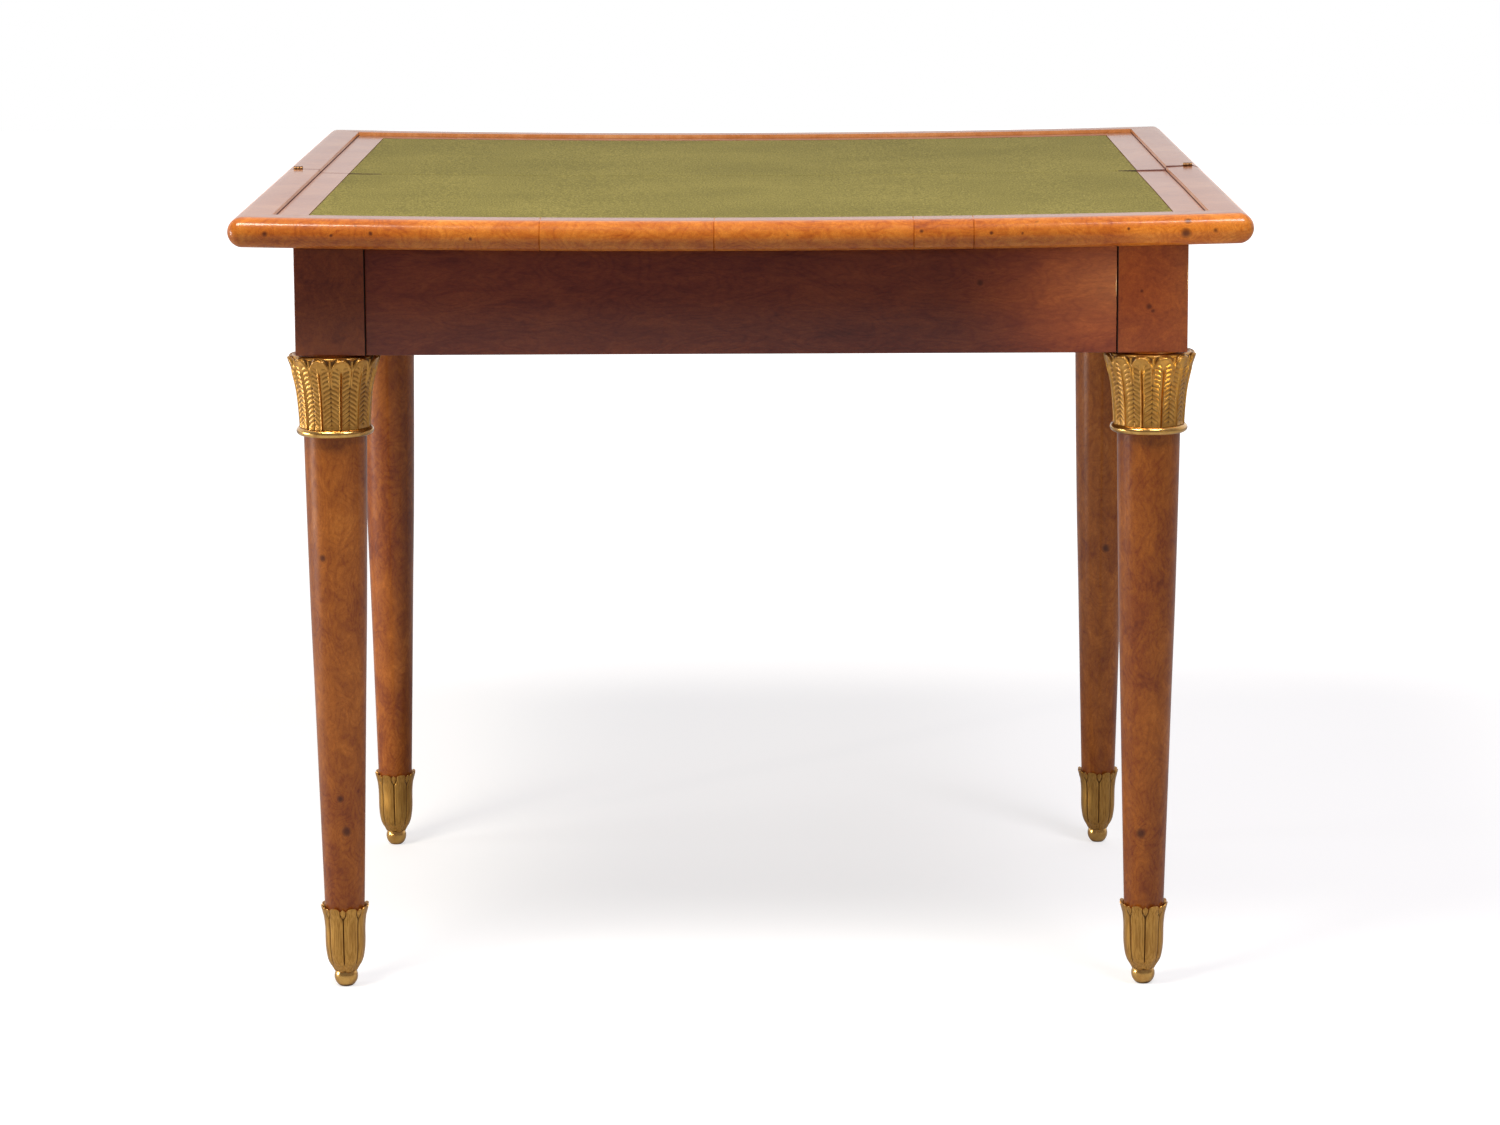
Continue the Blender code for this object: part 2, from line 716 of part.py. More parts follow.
# Side rails and their hinges. Folded, each pair of halves lies across the frame.
back_axes = {}
post_pockets = {}
for side, word in sides:
    front_axis = pivot(f"{word}_front_pivot", (side * inner_pivot_x, front_pivot_y, hinge_base))
    middle_axis = pivot(f"{word}_middle_pivot", (side * outer_pivot_x, middle_pivot_y, hinge_base),
                        front_axis)
    back_axis = pivot(f"{word}_back_pivot", (side * inner_pivot_x, back_post_front, hinge_base), middle_axis)
    back_axes[word] = back_axis

    x_low, x_high = sorted((side * rail_inside, side * rail_outside))
    spans = {
        f"side_rail_{word}": (rail_front + fit, front_pivot_y - joint_gap / 2, None),
        f"rail_front_half_{word}": (front_pivot_y + joint_gap / 2, middle_pivot_y - joint_gap / 2,
                                    front_axis),
        f"rail_back_half_{word}": (middle_pivot_y + joint_gap / 2, back_post_front - joint_gap / 2,
                                   middle_axis),
    }
    rails = []
    for name, (start, end, axis) in spans.items():
        mesh = span_box(name, (x_low, start, apron_bottom), (x_high, end, frame_top))
        rail = add_object(name, mesh, burr)
        if axis:
            hang(rail, axis)
        rails.append(rail)

    # The hinge's plates reach from the pivot into the rail: outwards at the ends, inwards in the middle
    joints = (("front", front_axis, side, rails[:2], (None, front_axis)),
              ("middle", middle_axis, -side, rails[1:], (front_axis, middle_axis)),
              ("back", back_axis, side, rails[2:], (middle_axis, back_axes.get("left"))))
    for joint, axis, reach, neighbours, carriers in joints:
        upright = reach > 0
        base = axis.location + Vector((0.0, 0.0, 0.0 if upright else rail_hinge_height))
        matrix = axes_matrix(base, (reach, 0, 0), (0, 0, 1 if upright else -1))
        pocket = rail_hinge.pocket_cutter(f"{word}_{joint}_pocket", matrix)
        for neighbour in neighbours:
            combine(neighbour, pocket)
        post_pockets[word] = pocket
        for ends, carrier, plate in ((True, carriers[0], "fixed"), (False, carriers[1], "moving")):
            add_plate(rail_hinge, f"{joint}_hinge_{plate}_plate_{word}", ends, matrix, carrier)

# Back frame, which rides on the left pair of rail halves
back_axis = back_axes["left"]
for side, word in sides:
    place = (side * back_leg_x, back_leg_y, 0.0)
    leg = make_leg(f"back_leg_{word}", place, (back_post_width, post_width), back_leg_girth_share)
    combine(leg, post_pockets[word])
    hang(leg, back_axis)
    hang(add_object(f"sabot_back_{word}", back_sabot, ormolu, place), back_axis)
    hang(add_object(f"foot_ball_back_{word}", back_ball, ormolu, place), back_axis)

back_reach = back_leg_x - back_post_width / 2 - fit
back_apron_y = back_leg_y + post_width / 2 - apron_recess - apron_thickness / 2
back_apron = add_object("back_apron", box_mesh("back_apron", (2 * back_reach, apron_thickness, apron_height)),
                        burr, (0.0, back_apron_y, apron_middle))
hang(back_apron, back_axis)
for side, word in sides:
    block = f"corner_block_{word}"
    hang(add_object(block, corner_block_mesh(block, side), carcass), back_axis)

bpy.context.view_layer.update()
print("games table:", len([item for item in parts.objects if item.type == "MESH"]), "sub-parts")
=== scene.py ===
# %% [markdown]
# # A neoclassical games table, shown open
#
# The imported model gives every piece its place, so this lesson only dresses it. The frame is
# loaded first and measured, because the finished table may not grow beyond it. All lengths
# are in metres, Z is up and the front of the table faces -Y.

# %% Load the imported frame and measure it
import functools
import json
from math import asin, cos, exp, hypot, pi, radians, sin, sqrt

import bmesh
import bpy
import numpy as np
from mathutils import Matrix, Vector, noise

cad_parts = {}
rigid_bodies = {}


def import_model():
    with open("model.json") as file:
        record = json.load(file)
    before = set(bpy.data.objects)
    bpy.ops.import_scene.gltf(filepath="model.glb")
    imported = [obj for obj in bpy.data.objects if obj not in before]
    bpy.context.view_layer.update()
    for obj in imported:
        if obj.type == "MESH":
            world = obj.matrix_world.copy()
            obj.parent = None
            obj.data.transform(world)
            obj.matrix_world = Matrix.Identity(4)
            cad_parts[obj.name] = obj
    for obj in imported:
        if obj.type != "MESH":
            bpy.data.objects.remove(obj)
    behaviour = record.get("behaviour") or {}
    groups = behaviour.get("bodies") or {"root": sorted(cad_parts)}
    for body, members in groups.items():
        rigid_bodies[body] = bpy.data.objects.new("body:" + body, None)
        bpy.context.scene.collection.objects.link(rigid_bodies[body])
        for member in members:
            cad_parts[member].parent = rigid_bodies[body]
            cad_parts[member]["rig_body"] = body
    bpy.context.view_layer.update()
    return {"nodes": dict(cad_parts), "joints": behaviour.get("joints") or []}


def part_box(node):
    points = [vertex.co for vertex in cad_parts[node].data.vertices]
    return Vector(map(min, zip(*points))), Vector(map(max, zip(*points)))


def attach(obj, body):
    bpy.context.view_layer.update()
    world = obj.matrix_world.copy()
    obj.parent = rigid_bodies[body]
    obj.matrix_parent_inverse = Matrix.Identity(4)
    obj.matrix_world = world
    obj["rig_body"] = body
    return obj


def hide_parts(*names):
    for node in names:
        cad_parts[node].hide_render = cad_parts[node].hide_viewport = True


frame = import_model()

# %% [markdown]
# ## The camera
#
# The photograph was taken from the front with a long lens, a little above the top, so both
# leaves show as a thin band. The position comes from a fit to the feet, the corners of the
# top and the posts. A small shift keeps the legs almost upright, as a view camera does.

# %% Place the camera
def new_object(name, data):
    """An object for this data, linked into the scene."""
    made = bpy.data.objects.new(name, data)
    bpy.context.scene.collection.objects.link(made)
    return made


camera_data = bpy.data.cameras.new("camera")
camera_data.lens = 104.3
camera_data.sensor_width = 36.0
camera_data.shift_y = -0.07
camera_data.dof.use_dof = False
camera = new_object("camera", camera_data)
yaw = Matrix.Rotation(radians(0.235), 4, "Z")
pitch = Matrix.Rotation(radians(90.0 - 9.303), 4, "X")
roll = Matrix.Rotation(radians(-0.261), 4, "Z")
camera.matrix_world = Matrix.Translation((0.024, -4.398, 1.167)) @ yaw @ pitch @ roll
bpy.context.scene.camera = camera
print("camera looks down by 9.3 degrees from", round(camera.location.y, 2), "m")

# %% [markdown]
# ## Sizes
#
# Pieces that meet each other share their sizes, so these stand in one place. The top has
# curled up a little at its ends over the years, and every piece of a leaf follows that bow.
# At the right end of the fold the front leaf has also sunk by a millimetre, which is why the
# fold shows there as a dark line.

# %% Sizes that several pieces share
table_height = 0.740
top_width = 0.936
leaf_depth = 0.468
leaf_thickness = 0.028
leaf_bottom = table_height - leaf_thickness
nose_radius = 0.014
corner_radius = 0.012
border_width = 0.039
border_flat_end = 0.0385
border_bevel_drop = 0.0028
strip_level = 0.7364
strip_width = 0.029
baize_thickness = 0.0015
bow_height = 0.0055
sunk_depth = 0.0012
sunk_reach = 0.2
joint_gap = 0.0003
fit = 0.0003
apron_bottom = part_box("front_apron")[0].z
frame_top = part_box("front_apron")[1].z
sides = ((-1, "left"), (1, "right"))


def step_at(value, start, end):
    """0 before the start, 1 after the end, smooth between."""
    share = min(max((value - start) / (end - start), 0.0), 1.0)
    return share * share * (3 - 2 * share)


def bowed(points):
    """The same points, lifted as the curled leaf lifts them, and sunk at the fold's right end."""
    moved = []
    for x, y, z in points:
        near = max(1.0 + y / sunk_reach, 0.0) if y < 0 else 0.0
        sunk = sunk_depth * near * step_at(x, 0.37, 0.41) * (1.0 - step_at(x, 0.43, 0.475))
        moved.append((x, y, z + bow_height * (2 * x / top_width) ** 2 - sunk))
    return moved


print("apron from", round(apron_bottom, 4), "to", round(frame_top, 4), "m over the floor")

# %% [markdown]
# ## How a piece is made
#
# Most pieces are a section carried along a path, as a moulding is, or turned about an axis,
# as a leg is. In both, rings of points are joined by faces. One function joins the rings and
# another makes the object, lets it ride on its body and hides the CAD node it stands for.

# %% Helpers that join rings of points and make a piece
def skin(rings, around=True, ends="cap"):
    """Points and faces of a skin over rings; ends are capped, left open or joined in a loop."""
    count = len(rings[0])
    points = [point for ring in rings for point in ring]
    steps = count if around else count - 1
    faces = []
    rows = len(rings) if ends == "loop" else len(rings) - 1
    for row in range(rows):
        low = row * count
        high = (row + 1) % len(rings) * count
        for i in range(steps):
            j = (i + 1) % count
            faces.append((low + i, low + j, high + j, high + i))
    if ends == "cap":
        faces.append(tuple(range(count))[::-1])
        faces.append(tuple(range((len(rings) - 1) * count, len(rings) * count)))
    return points, faces


def merged(*skins):
    """Several skins as one list of points and one of faces."""
    points = []
    faces = []
    for some_points, some_faces in skins:
        start = len(points)
        points += list(some_points)
        faces += [tuple(start + i for i in face) for face in some_faces]
    return points, faces


def arc(middle, reach, start, end, steps):
    """Points round a middle from one turn to another; reach is the radius along either axis."""
    turns = [start + (end - start) * number / steps for number in range(steps + 1)]
    return [(middle[0] + reach[0] * cos(turn), middle[1] + reach[1] * sin(turn)) for turn in turns]


weld_distance = 0.000002


def clean_mesh(name, points, faces, hollow=None):
    """A mesh with its seams welded; hollow is how deep in the carving each point lies, 0 to 1."""
    mesh = bpy.data.meshes.new(name)
    mesh.from_pydata(points, [], faces)
    if hollow is not None:
        layer = mesh.attributes.new("hollow", "FLOAT", "POINT")
        layer.data.foreach_set("value", np.asarray(hollow, np.float32))
    bm = bmesh.new()
    bm.from_mesh(mesh)
    bmesh.ops.remove_doubles(bm, verts=bm.verts, dist=weld_distance)
    bmesh.ops.dissolve_degenerate(bm, edges=bm.edges, dist=weld_distance)
    bmesh.ops.recalc_face_normals(bm, faces=bm.faces)
    bm.to_mesh(mesh)
    bm.free()
    return mesh


# Edges that turn by more than this stay sharp; carving is smooth up to the second value
smooth_angle = 32.0
carved_angle = 60.0


def make_piece(node, mesh, material, sharp=smooth_angle, name=None):
    """Link a mesh as the piece that stands for a CAD node and rides on that node's body."""
    mesh.shade_smooth()
    mesh.set_sharp_from_angle(angle=radians(sharp))
    mesh.materials.clear()
    mesh.materials.append(material)
    piece = new_object("fine_" + (name or node), mesh)
    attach(piece, frame["nodes"][node]["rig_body"])
    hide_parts(node)
    return piece


# How squarely a face has to look in a direction to get a second finish
any_slant = 0.3
half_slanted = 0.55
slanted = 0.8
mostly = 0.9
squarely = 0.99
dead_square = 0.9995


def backed(piece, direction, material, closeness=mostly):
    """Give the faces that look in one direction a second finish, as on veneered boards."""
    piece.data.materials.append(material)
    for face in piece.data.polygons:
        if face.normal.dot(Vector(direction)) > closeness:
            face.material_index = len(piece.data.materials) - 1


def applied(piece):
    """Replace a piece's mesh by the one that its modifiers make."""
    graph = bpy.context.evaluated_depsgraph_get()
    mesh = bpy.data.meshes.new_from_object(piece.evaluated_get(graph))
    piece.modifiers.clear()
    piece.data = mesh
    return mesh


print("a leaf's corner is rounded by", corner_radius * 1000, "mm")

# %% [markdown]
# ## How a finish is made
#
# Colours are picked in sRGB, as on a screen, but shaders count in linear light, so one
# function turns them. Another adds a node with its settings and its links, and returns the
# output that the next node needs.

# %% Helpers for colours and nodes
def linear(colour):
    """An sRGB hex colour in linear light, with full opacity."""
    values = [int(colour[start:start + 2], 16) / 255 for start in (1, 3, 5)]
    return [v / 12.92 if v <= 0.04045 else ((v + 0.055) / 1.055) ** 2.4 for v in values] + [1.0]


def add_node(tree, kind, *values, at=None, stops=None, out=0, **named):
    """An output of a new node; named inputs start with a capital, its settings do not.

    Values and at give inputs by number. An input is a value or the output that feeds it, and
    stops are the places and colours of a ramp.
    """
    made = tree.nodes.new("ShaderNode" + kind)
    inputs = dict(enumerate(values)) | (at or {})
    for name, value in named.items():
        if name[0].isupper():
            inputs[name.replace("_", " ")] = value
        else:
            setattr(made, name, value)
    for name, value in inputs.items():
        if isinstance(value, bpy.types.NodeSocket):
            tree.links.new(value, made.inputs[name])
        else:
            made.inputs[name].default_value = value
    if stops:
        ramp = made.color_ramp.elements
        while len(ramp) < len(stops):
            ramp.new(1.0)
        for element, (place, colour) in zip(ramp, stops):
            element.position = place
            element.color = linear(colour)
    return made.outputs[out]


def start_finish(name, **values):
    """A material, what adds its nodes, and its shader with constants set on its own sockets."""
    material = bpy.data.materials.new(name)
    material.use_nodes = True
    shader = material.node_tree.nodes["Principled BSDF"]
    for socket, value in values.items():
        shader.inputs[socket.replace("_", " ")].default_value = value
    return material, functools.partial(add_node, material.node_tree), shader


def join(shader, **outputs):
    """Link outputs of nodes to the shader's sockets."""
    for socket, output in outputs.items():
        shader.id_data.links.new(output, shader.inputs[socket.replace("_", " ")])


print("mid grey in linear light:", round(linear("#808080")[0], 3))

# %% [markdown]
# ## Thuya burr veneer, French polished
#
# Burr wood grows in knots, so its figure has no straight grain: it swirls round small dark
# eyes and changes tone every few centimetres. The veneer is about a millimetre thick, glued
# on and polished with shellac, which is glossy but shows the pores. Each board gets its own
# tones and its own stretch of the figure. Scales are per metre: a figure of 16 mm is 1 / 0.016.

# %% The burr veneer
bulge_size = 0.034
ring_count = 15.0
fibre_size = 0.0032
flame_size = 0.021
patch_size = 0.110
eye_spacing = 0.015
# The largest eyes are about 4 mm across, the smallest 1 mm
eye_radius = 0.0018
# Pores are 0.1 to 0.2 mm in the wood, and drawn here at 1.1 mm so that they show
pore_size = 0.0011
# The whole figure is bent by up to 18 mm, the knots by 4 mm, and a knot pushes the rings aside
figure_bend = 0.018
knot_bend = 0.004
knot_push = 0.28
# Eyes stand in groups about 70 mm wide
group_frequency = 14.0
fibre_weight = 0.6
flame_weight = 0.9
knot_colour = "#431707"


def knot_hill(add, place, knots):
    """A smooth hill round each knot (x, y, z, radius), 1 in the knot's middle."""
    hill = 0.0
    for x, y, z, radius in knots:
        middle = (x + knot_bend / 2, y + knot_bend / 2, z + knot_bend / 2)
        away = add("VectorMath", place, middle, operation="DISTANCE", out="Value")
        one = add("MapRange", Value=away, From_Max=3.5 * radius, To_Min=1.0, To_Max=0.0,
                  interpolation_type="SMOOTHSTEP")
        hill = add("Math", hill, one, operation="MAXIMUM")
    return hill


def burr(name, tones, stretch=(1.0, 1.0, 1.0), start=(0.0, 0.0, 0.0), rings=0.16, eyes=0.08,
         knots=(), joints=()):
    """Burr veneer; tones run from dark to pale, rings is how clear the rings are, joints are in x."""
    material, add, shader = start_finish(
        name, Metallic=0.0, IOR=1.5, Specular_IOR_Level=0.15, Coat_Weight=0.55, Coat_Roughness=0.12,
        Coat_IOR=1.5)
    place = add("TexCoord", out="Object")
    along = add("SeparateXYZ", Vector=place, out="X")
    leaf = 0.0
    for joint in joints:
        beyond = add("Math", along, joint, operation="GREATER_THAN")
        leaf = add("Math", beyond, leaf)
    shifted = add("VectorMath", place, add("CombineXYZ", Y=leaf))
    moved = add("Mapping", Vector=shifted, Location=start, Scale=stretch)
    bend = add("TexNoise", Vector=moved, Scale=45.0, Detail=2.0, out="Color")
    bent = add("VectorMath", bend, [figure_bend] * 3, moved, operation="MULTIPLY_ADD")
    nudged = add("VectorMath", bend, [knot_bend] * 3, place, operation="MULTIPLY_ADD")
    hill = knot_hill(add, nudged, knots)
    bulge = add("TexNoise", Vector=moved, Scale=1 / bulge_size, Detail=1.5, Roughness=0.3)
    raised = add("Math", hill, knot_push, bulge, operation="MULTIPLY_ADD")
    turns = add("Math", raised, ring_count * 2 * pi, operation="MULTIPLY")
    wave = add("Math", turns, operation="SINE")
    wave = add("Math", wave, 0.5, 0.5, operation="MULTIPLY_ADD")
    ring = add("Math", wave, 3.0, operation="POWER")
    fibre = add("TexNoise", Vector=bent, Scale=1 / fibre_size, Detail=4.0, Roughness=0.6,
                Distortion=0.4)
    flame = add("TexNoise", Vector=bent, Scale=1 / flame_size, Detail=3.0, Roughness=0.55,
                Distortion=0.8)
    patch = add("TexNoise", Vector=bent, Scale=1 / patch_size, Detail=4.0)
    level = patch
    for figure, weight in ((fibre, fibre_weight), (flame, flame_weight), (ring, -rings)):
        level = add("Math", figure, weight, level, operation="MULTIPLY_ADD")
    spread = add("MapRange", Value=level, From_Min=0.80, From_Max=1.62)
    tone = add("ValToRGB", Fac=spread, stops=list(zip((0.0, 0.28, 0.5, 0.72, 1.0), tones)))
    away = add("TexVoronoi", Vector=bent, Scale=1 / eye_spacing)
    chance = add("SeparateColor", Color=away.node.outputs["Color"], out="Red")
    group = add("TexNoise", Vector=moved, Scale=group_frequency, Detail=1.0)
    luck = add("Math", chance, group, operation="MULTIPLY")
    chosen = add("Math", luck, 0.62 - eyes, operation="GREATER_THAN")
    reach = add("MapRange", Value=chance.node.outputs["Green"], To_Min=0.25)
    near = add("Math", away, reach, operation="DIVIDE")
    size = eye_radius / eye_spacing
    dot = add("MapRange", Value=near, From_Min=1.5 * size, From_Max=0.5 * size, To_Max=0.8)
    eye = add("Math", dot, chosen, operation="MULTIPLY")
    core = add("MapRange", Value=hill, From_Min=0.76, From_Max=0.97, To_Max=0.85)
    dark = add("Math", eye, core, operation="MAXIMUM")
    knotted = add("Mix", at={0: dark, 6: tone, 7: linear(knot_colour)}, data_type="RGBA", out=2)
    pores = add("TexNoise", Vector=moved, Scale=1 / pore_size, Detail=2.0, Roughness=0.6)
    shade = add("MapRange", Value=pores, From_Min=0.35, From_Max=0.6, To_Min=0.86, To_Max=1.04)
    worn = add("MapRange", Value=patch, From_Min=0.3, From_Max=0.7, To_Min=0.40, To_Max=0.36)
    height = add("Math", pores, 0.5, fibre, operation="MULTIPLY_ADD")
    join(shader, Base_Color=add("VectorMath", knotted, Scale=shade, operation="SCALE"),
         Roughness=worn, Normal=add("Bump", Height=height, Strength=0.2, Distance=0.0002))
    return material


# Places of the veneer joints on the front nose, in x from the middle of the table
nose_joints = (-0.183, -0.024, 0.158)
nose_crack = 0.2125
# Knots are x, y, z and radius; most of the nose's lie on its foremost line
nose_line = -0.4675
nose_knots = [(x, nose_line, z, radius) for x, z, radius in (
    (-0.4325, 0.7310, 0.0030), (-0.372, 0.7295, 0.0019), (-0.3365, 0.7310, 0.0024),
    (-0.2453, 0.7253, 0.0020), (0.165, 0.7312, 0.0020), (0.228, 0.7295, 0.0019),
    (0.257, 0.7290, 0.0017), (0.353, 0.7325, 0.0016), (0.405, 0.7282, 0.0050),
    (0.432, 0.7305, 0.0026))]
nose_knots += [(0.407, -0.4640, 0.7387, 0.0036), (0.452, -0.4640, 0.7345, 0.0022)]
front_knots = (
    (0.2205, -0.412, 0.677, 0.0034), (0.3772, -0.413, 0.654, 0.0030),
    (0.3812, -0.413, 0.650, 0.0020), (0.3700, -0.413, 0.668, 0.0018))
leg_knots = (
    (-0.392, -0.405, 0.4187, 0.0038), (-0.3758, -0.401, 0.1555, 0.0050),
    (-0.381, -0.402, 0.187, 0.0036), (0.383, 0.137, 0.325, 0.0052), (0.375, -0.401, 0.151, 0.0052))
warm_tones = ("#944410", "#b25d17", "#c06c1f", "#cd7a28", "#dc8d38")
strip_tones = ("#7f3e14", "#87471a", "#8d4d1c", "#945420", "#9c5d26")
# The step's edge is rubbed pale by hands and dusters
step_tones = ("#a4612c", "#b5713a", "#c07c46", "#c98852", "#d29762")
# The apron's deep plum tones are darker than its veneer alone, as painted shade under the overhang;
# the rails and the faces in the fold share them
deep_and_shaded_tones = ("#5a2118", "#6d2e1f", "#783722", "#823f25", "#904b2b")
post_tones = ("#5c2516", "#73351c", "#7f3e1f", "#8a4722", "#975328")
leg_tones = ("#6b2d09", "#85400f", "#965013", "#a75d19", "#bb6f25")
nose_burr = burr("burr_nose", warm_tones, (0.85, 1.0, 1.1), (0.3, 0.0, 0.0), rings=0.13,
                 eyes=0.13, knots=nose_knots, joints=nose_joints)
strip_burr = burr("burr_strip", strip_tones, start=(1.7, 0.4, 0.0), rings=0.10)
apron_burr = burr("burr_apron", deep_and_shaded_tones, (0.45, 1.0, 1.5), (3.1, 0.0, 0.0), rings=0.12,
                  knots=front_knots)
post_burr = burr("burr_post", post_tones, start=(4.3, 0.2, 0.0), rings=0.08, eyes=0.12,
                 knots=front_knots)
leg_burr = burr("burr_leg", leg_tones, (1.2, 1.2, 0.75), (5.0, 0.0, 0.0), rings=0.10,
                eyes=0.10, knots=leg_knots)
step_burr = burr("burr_step", step_tones, start=(2.6, 0.1, 0.0), rings=0.06)
outer_burr = burr("burr_outer_face", warm_tones, start=(6.4, 0.0, 0.0), rings=0.18, eyes=0.14)
print("burr finishes:", [m.name for m in bpy.data.materials if m.name.startswith("burr")])

# %% [markdown]
# ## Oak for the hidden parts
#
# The frame under the veneer is plain oak, sawn and planed but never polished. It is a dull
# brown with straight grain along the board, lighter than the veneer and with no gloss.

# %% The carcass oak
ring_width = 0.0035
oak, add_oak, oak_shader = start_finish("carcass_oak", Metallic=0.0, Roughness=0.62, IOR=1.5)
oak_grain = add_oak("Mapping", Vector=add_oak("TexCoord", out="Object"), Scale=(0.12, 0.35, 1.0))
oak_rings = add_oak("TexWave", Vector=oak_grain, Scale=0.3 / ring_width, Distortion=5.0, Detail=3.0,
                    Detail_Scale=0.8, bands_direction="Z", out="Fac")
oak_fibre = add_oak("TexNoise", Vector=oak_grain, Scale=600.0, Detail=4.0, Roughness=0.7)
oak_level = add_oak("Mix", at={0: 0.5, 2: oak_rings, 3: oak_fibre})
oak_tone = add_oak("ValToRGB", Fac=oak_level, stops=[
    (0.25, "#6e4c2a"), (0.5, "#8d6739"), (0.75, "#a57f4d")])
join(oak_shader, Base_Color=oak_tone,
     Normal=add_oak("Bump", Height=oak_fibre, Strength=0.4, Distance=0.0003))
print("oak rings every", ring_width * 1000, "mm")

# %% [markdown]
# ## Grime and painted shadow in the joints, and worn edges
#
# Wax, dust and old polish gather in every joint, and the narrow faces that look into a joint lie
# in its shadow. So they get a matt, almost black-brown finish that is dirt and painted shadow
# together. Edges that rub against each other, as in the fold, have lost their polish: they are
# matt, and their brown is darkened as painted shade for the fold's gap and the step's foot.

# %% The grime and gap shadow, and the worn and shaded edges
def matt_finish(name, dark, pale):
    """A matt finish, mottled at 3 mm, whose dark colour paints a line of shade without a gleam."""
    material, add, shader = start_finish(name, Metallic=0.0, Roughness=0.75, IOR=1.45)
    mottle = add("TexNoise", Vector=add("TexCoord", out="Object"), Scale=300.0, Detail=3.0)
    join(shader, Base_Color=add("ValToRGB", Fac=mottle, stops=[(0.3, dark), (0.7, pale)]))
    return material


# Both are dark as painted shade: the grime is dirt and the shadow in a joint's gap, the worn edge is
# worn polish and the shade in the fold and at the step's foot
grime_and_gap_shadow = matt_finish("joint_grime_and_gap_shadow", "#1d0f08", "#3b2012")
worn_and_shaded_edge = matt_finish("worn_and_shaded_edge", "#43201a", "#653428")
print("grime for the joints between mouldings and posts, worn edges for the fold")

# %% [markdown]
# ## Baize for the playing surface
#
# Baize is a woollen cloth that is raised and shorn, so no thread shows. It was green once and
# has faded to olive. It has no gloss, only the soft glow of its fibres seen from low down, and
# short streaks where the nap has been brushed from front to back.

# %% The baize
# Wool fibres are 0.03 mm thick; the tufts of nap they form are drawn at 1.7 mm to show
nap_size = 0.0017
baize, add_wool, wool_shader = start_finish(
    "wool_baize", Metallic=0.0, Roughness=0.95, IOR=1.45, Specular_IOR_Level=0.25,
    Sheen_Weight=0.25, Sheen_Roughness=0.5, Sheen_Tint=linear("#c9be84"))
wool_place = add_wool("TexCoord", out="Object")
brushed = add_wool("Mapping", Vector=wool_place, Scale=(1.0, 0.35, 1.0))
nap = add_wool("TexNoise", Vector=brushed, Scale=1 / nap_size, Detail=2.0, Roughness=0.7)
fading = add_wool("TexNoise", Vector=wool_place, Scale=7.0, Detail=4.0, Roughness=0.6)
wool_level = add_wool("Mix", at={0: 0.22, 2: nap, 3: fading})
olive = add_wool("ValToRGB", Fac=wool_level, stops=[
    (0.36, "#534d18"), (0.5, "#6c6427"), (0.64, "#887e3e")])
# Lint and specks of chalk, about a millimetre each
specks = add_wool("TexVoronoi", Vector=wool_place, Scale=30.0)
speck = add_wool("MapRange", Value=specks, From_Min=0.035, From_Max=0.015, To_Max=0.6)
flecked = add_wool("Mix", at={0: speck, 6: olive, 7: linear("#c2b98a")}, data_type="RGBA", out=2)
join(wool_shader, Base_Color=flecked,
     Normal=add_wool("Bump", Height=nap, Strength=0.8, Distance=0.0005))
print("nap tufts every", nap_size * 1000, "mm")

# %% [markdown]
# ## Gilt bronze and hinge brass
#
# The mounts are cast bronze, chased and gilded. Raised parts are burnished bright by two
# centuries of dusting, and the hollows keep dull brown dirt. Each carved mesh carries an
# attribute that says how deep a point lies, and the finish reads it. The sabots were brushed
# lengthwise, so their stains are drawn out upwards. The hinges are plain brass gone dark.

# %% The metals
def metal(name, bright, dull, dirt, smooth, rough, lacquer=0.0, stretch=(1.0, 1.0, 1.0)):
    """Old metal: bright where it is raised, dirty where hollow; stretch draws out its stains."""
    material, add, shader = start_finish(
        name, Metallic=1.0, Coat_Weight=lacquer, Coat_Roughness=0.14, Coat_IOR=1.5)
    place = add("Mapping", Vector=add("TexCoord", out="Object"), Scale=stretch)
    hollow = add("Attribute", attribute_name="hollow", out="Fac")
    stain = add("TexNoise", Vector=place, Scale=140.0, Detail=5.0, Roughness=0.65)
    tarnish = add("ValToRGB", Fac=stain, stops=[(0.35, dull), (0.60, bright)])
    reach = add("Math", stain, 0.5, hollow, operation="MULTIPLY_ADD")
    soiled = add("MapRange", Value=reach, From_Min=0.45, From_Max=1.15)
    join(shader,
         Base_Color=add("Mix", at={0: soiled, 6: tarnish, 7: linear(dirt)}, data_type="RGBA", out=2),
         Roughness=add("MapRange", Value=soiled, To_Min=smooth, To_Max=rough),
         Normal=add("Bump", Height=stain, Strength=0.15, Distance=0.0002))
    return material


gilt_bronze = metal("gilt_bronze", "#d9a552", "#c08a3e", "#6b4820", 0.40, 0.55, 0.35)
gilt_polished = metal("gilt_polished", "#e8ba68", "#d09c50", "#6b4820", 0.24, 0.5, 0.5)
gilt_brushed = metal("gilt_brushed", "#d6a351", "#ae7c36", "#5c3d1a", 0.38, 0.58, 0.4,
                     stretch=(5.0, 5.0, 0.3))
hinge_brass = metal("hinge_brass", "#a98245", "#7c5c2e", "#3a2a15", 0.38, 0.6)
leaf_hinge_brass = metal("leaf_hinge_brass", "#8f6a46", "#6f4f33", "#3a2718", 0.42, 0.6)
print("metals:", [m.name for m in bpy.data.materials if "gilt" in m.name or "brass" in m.name])

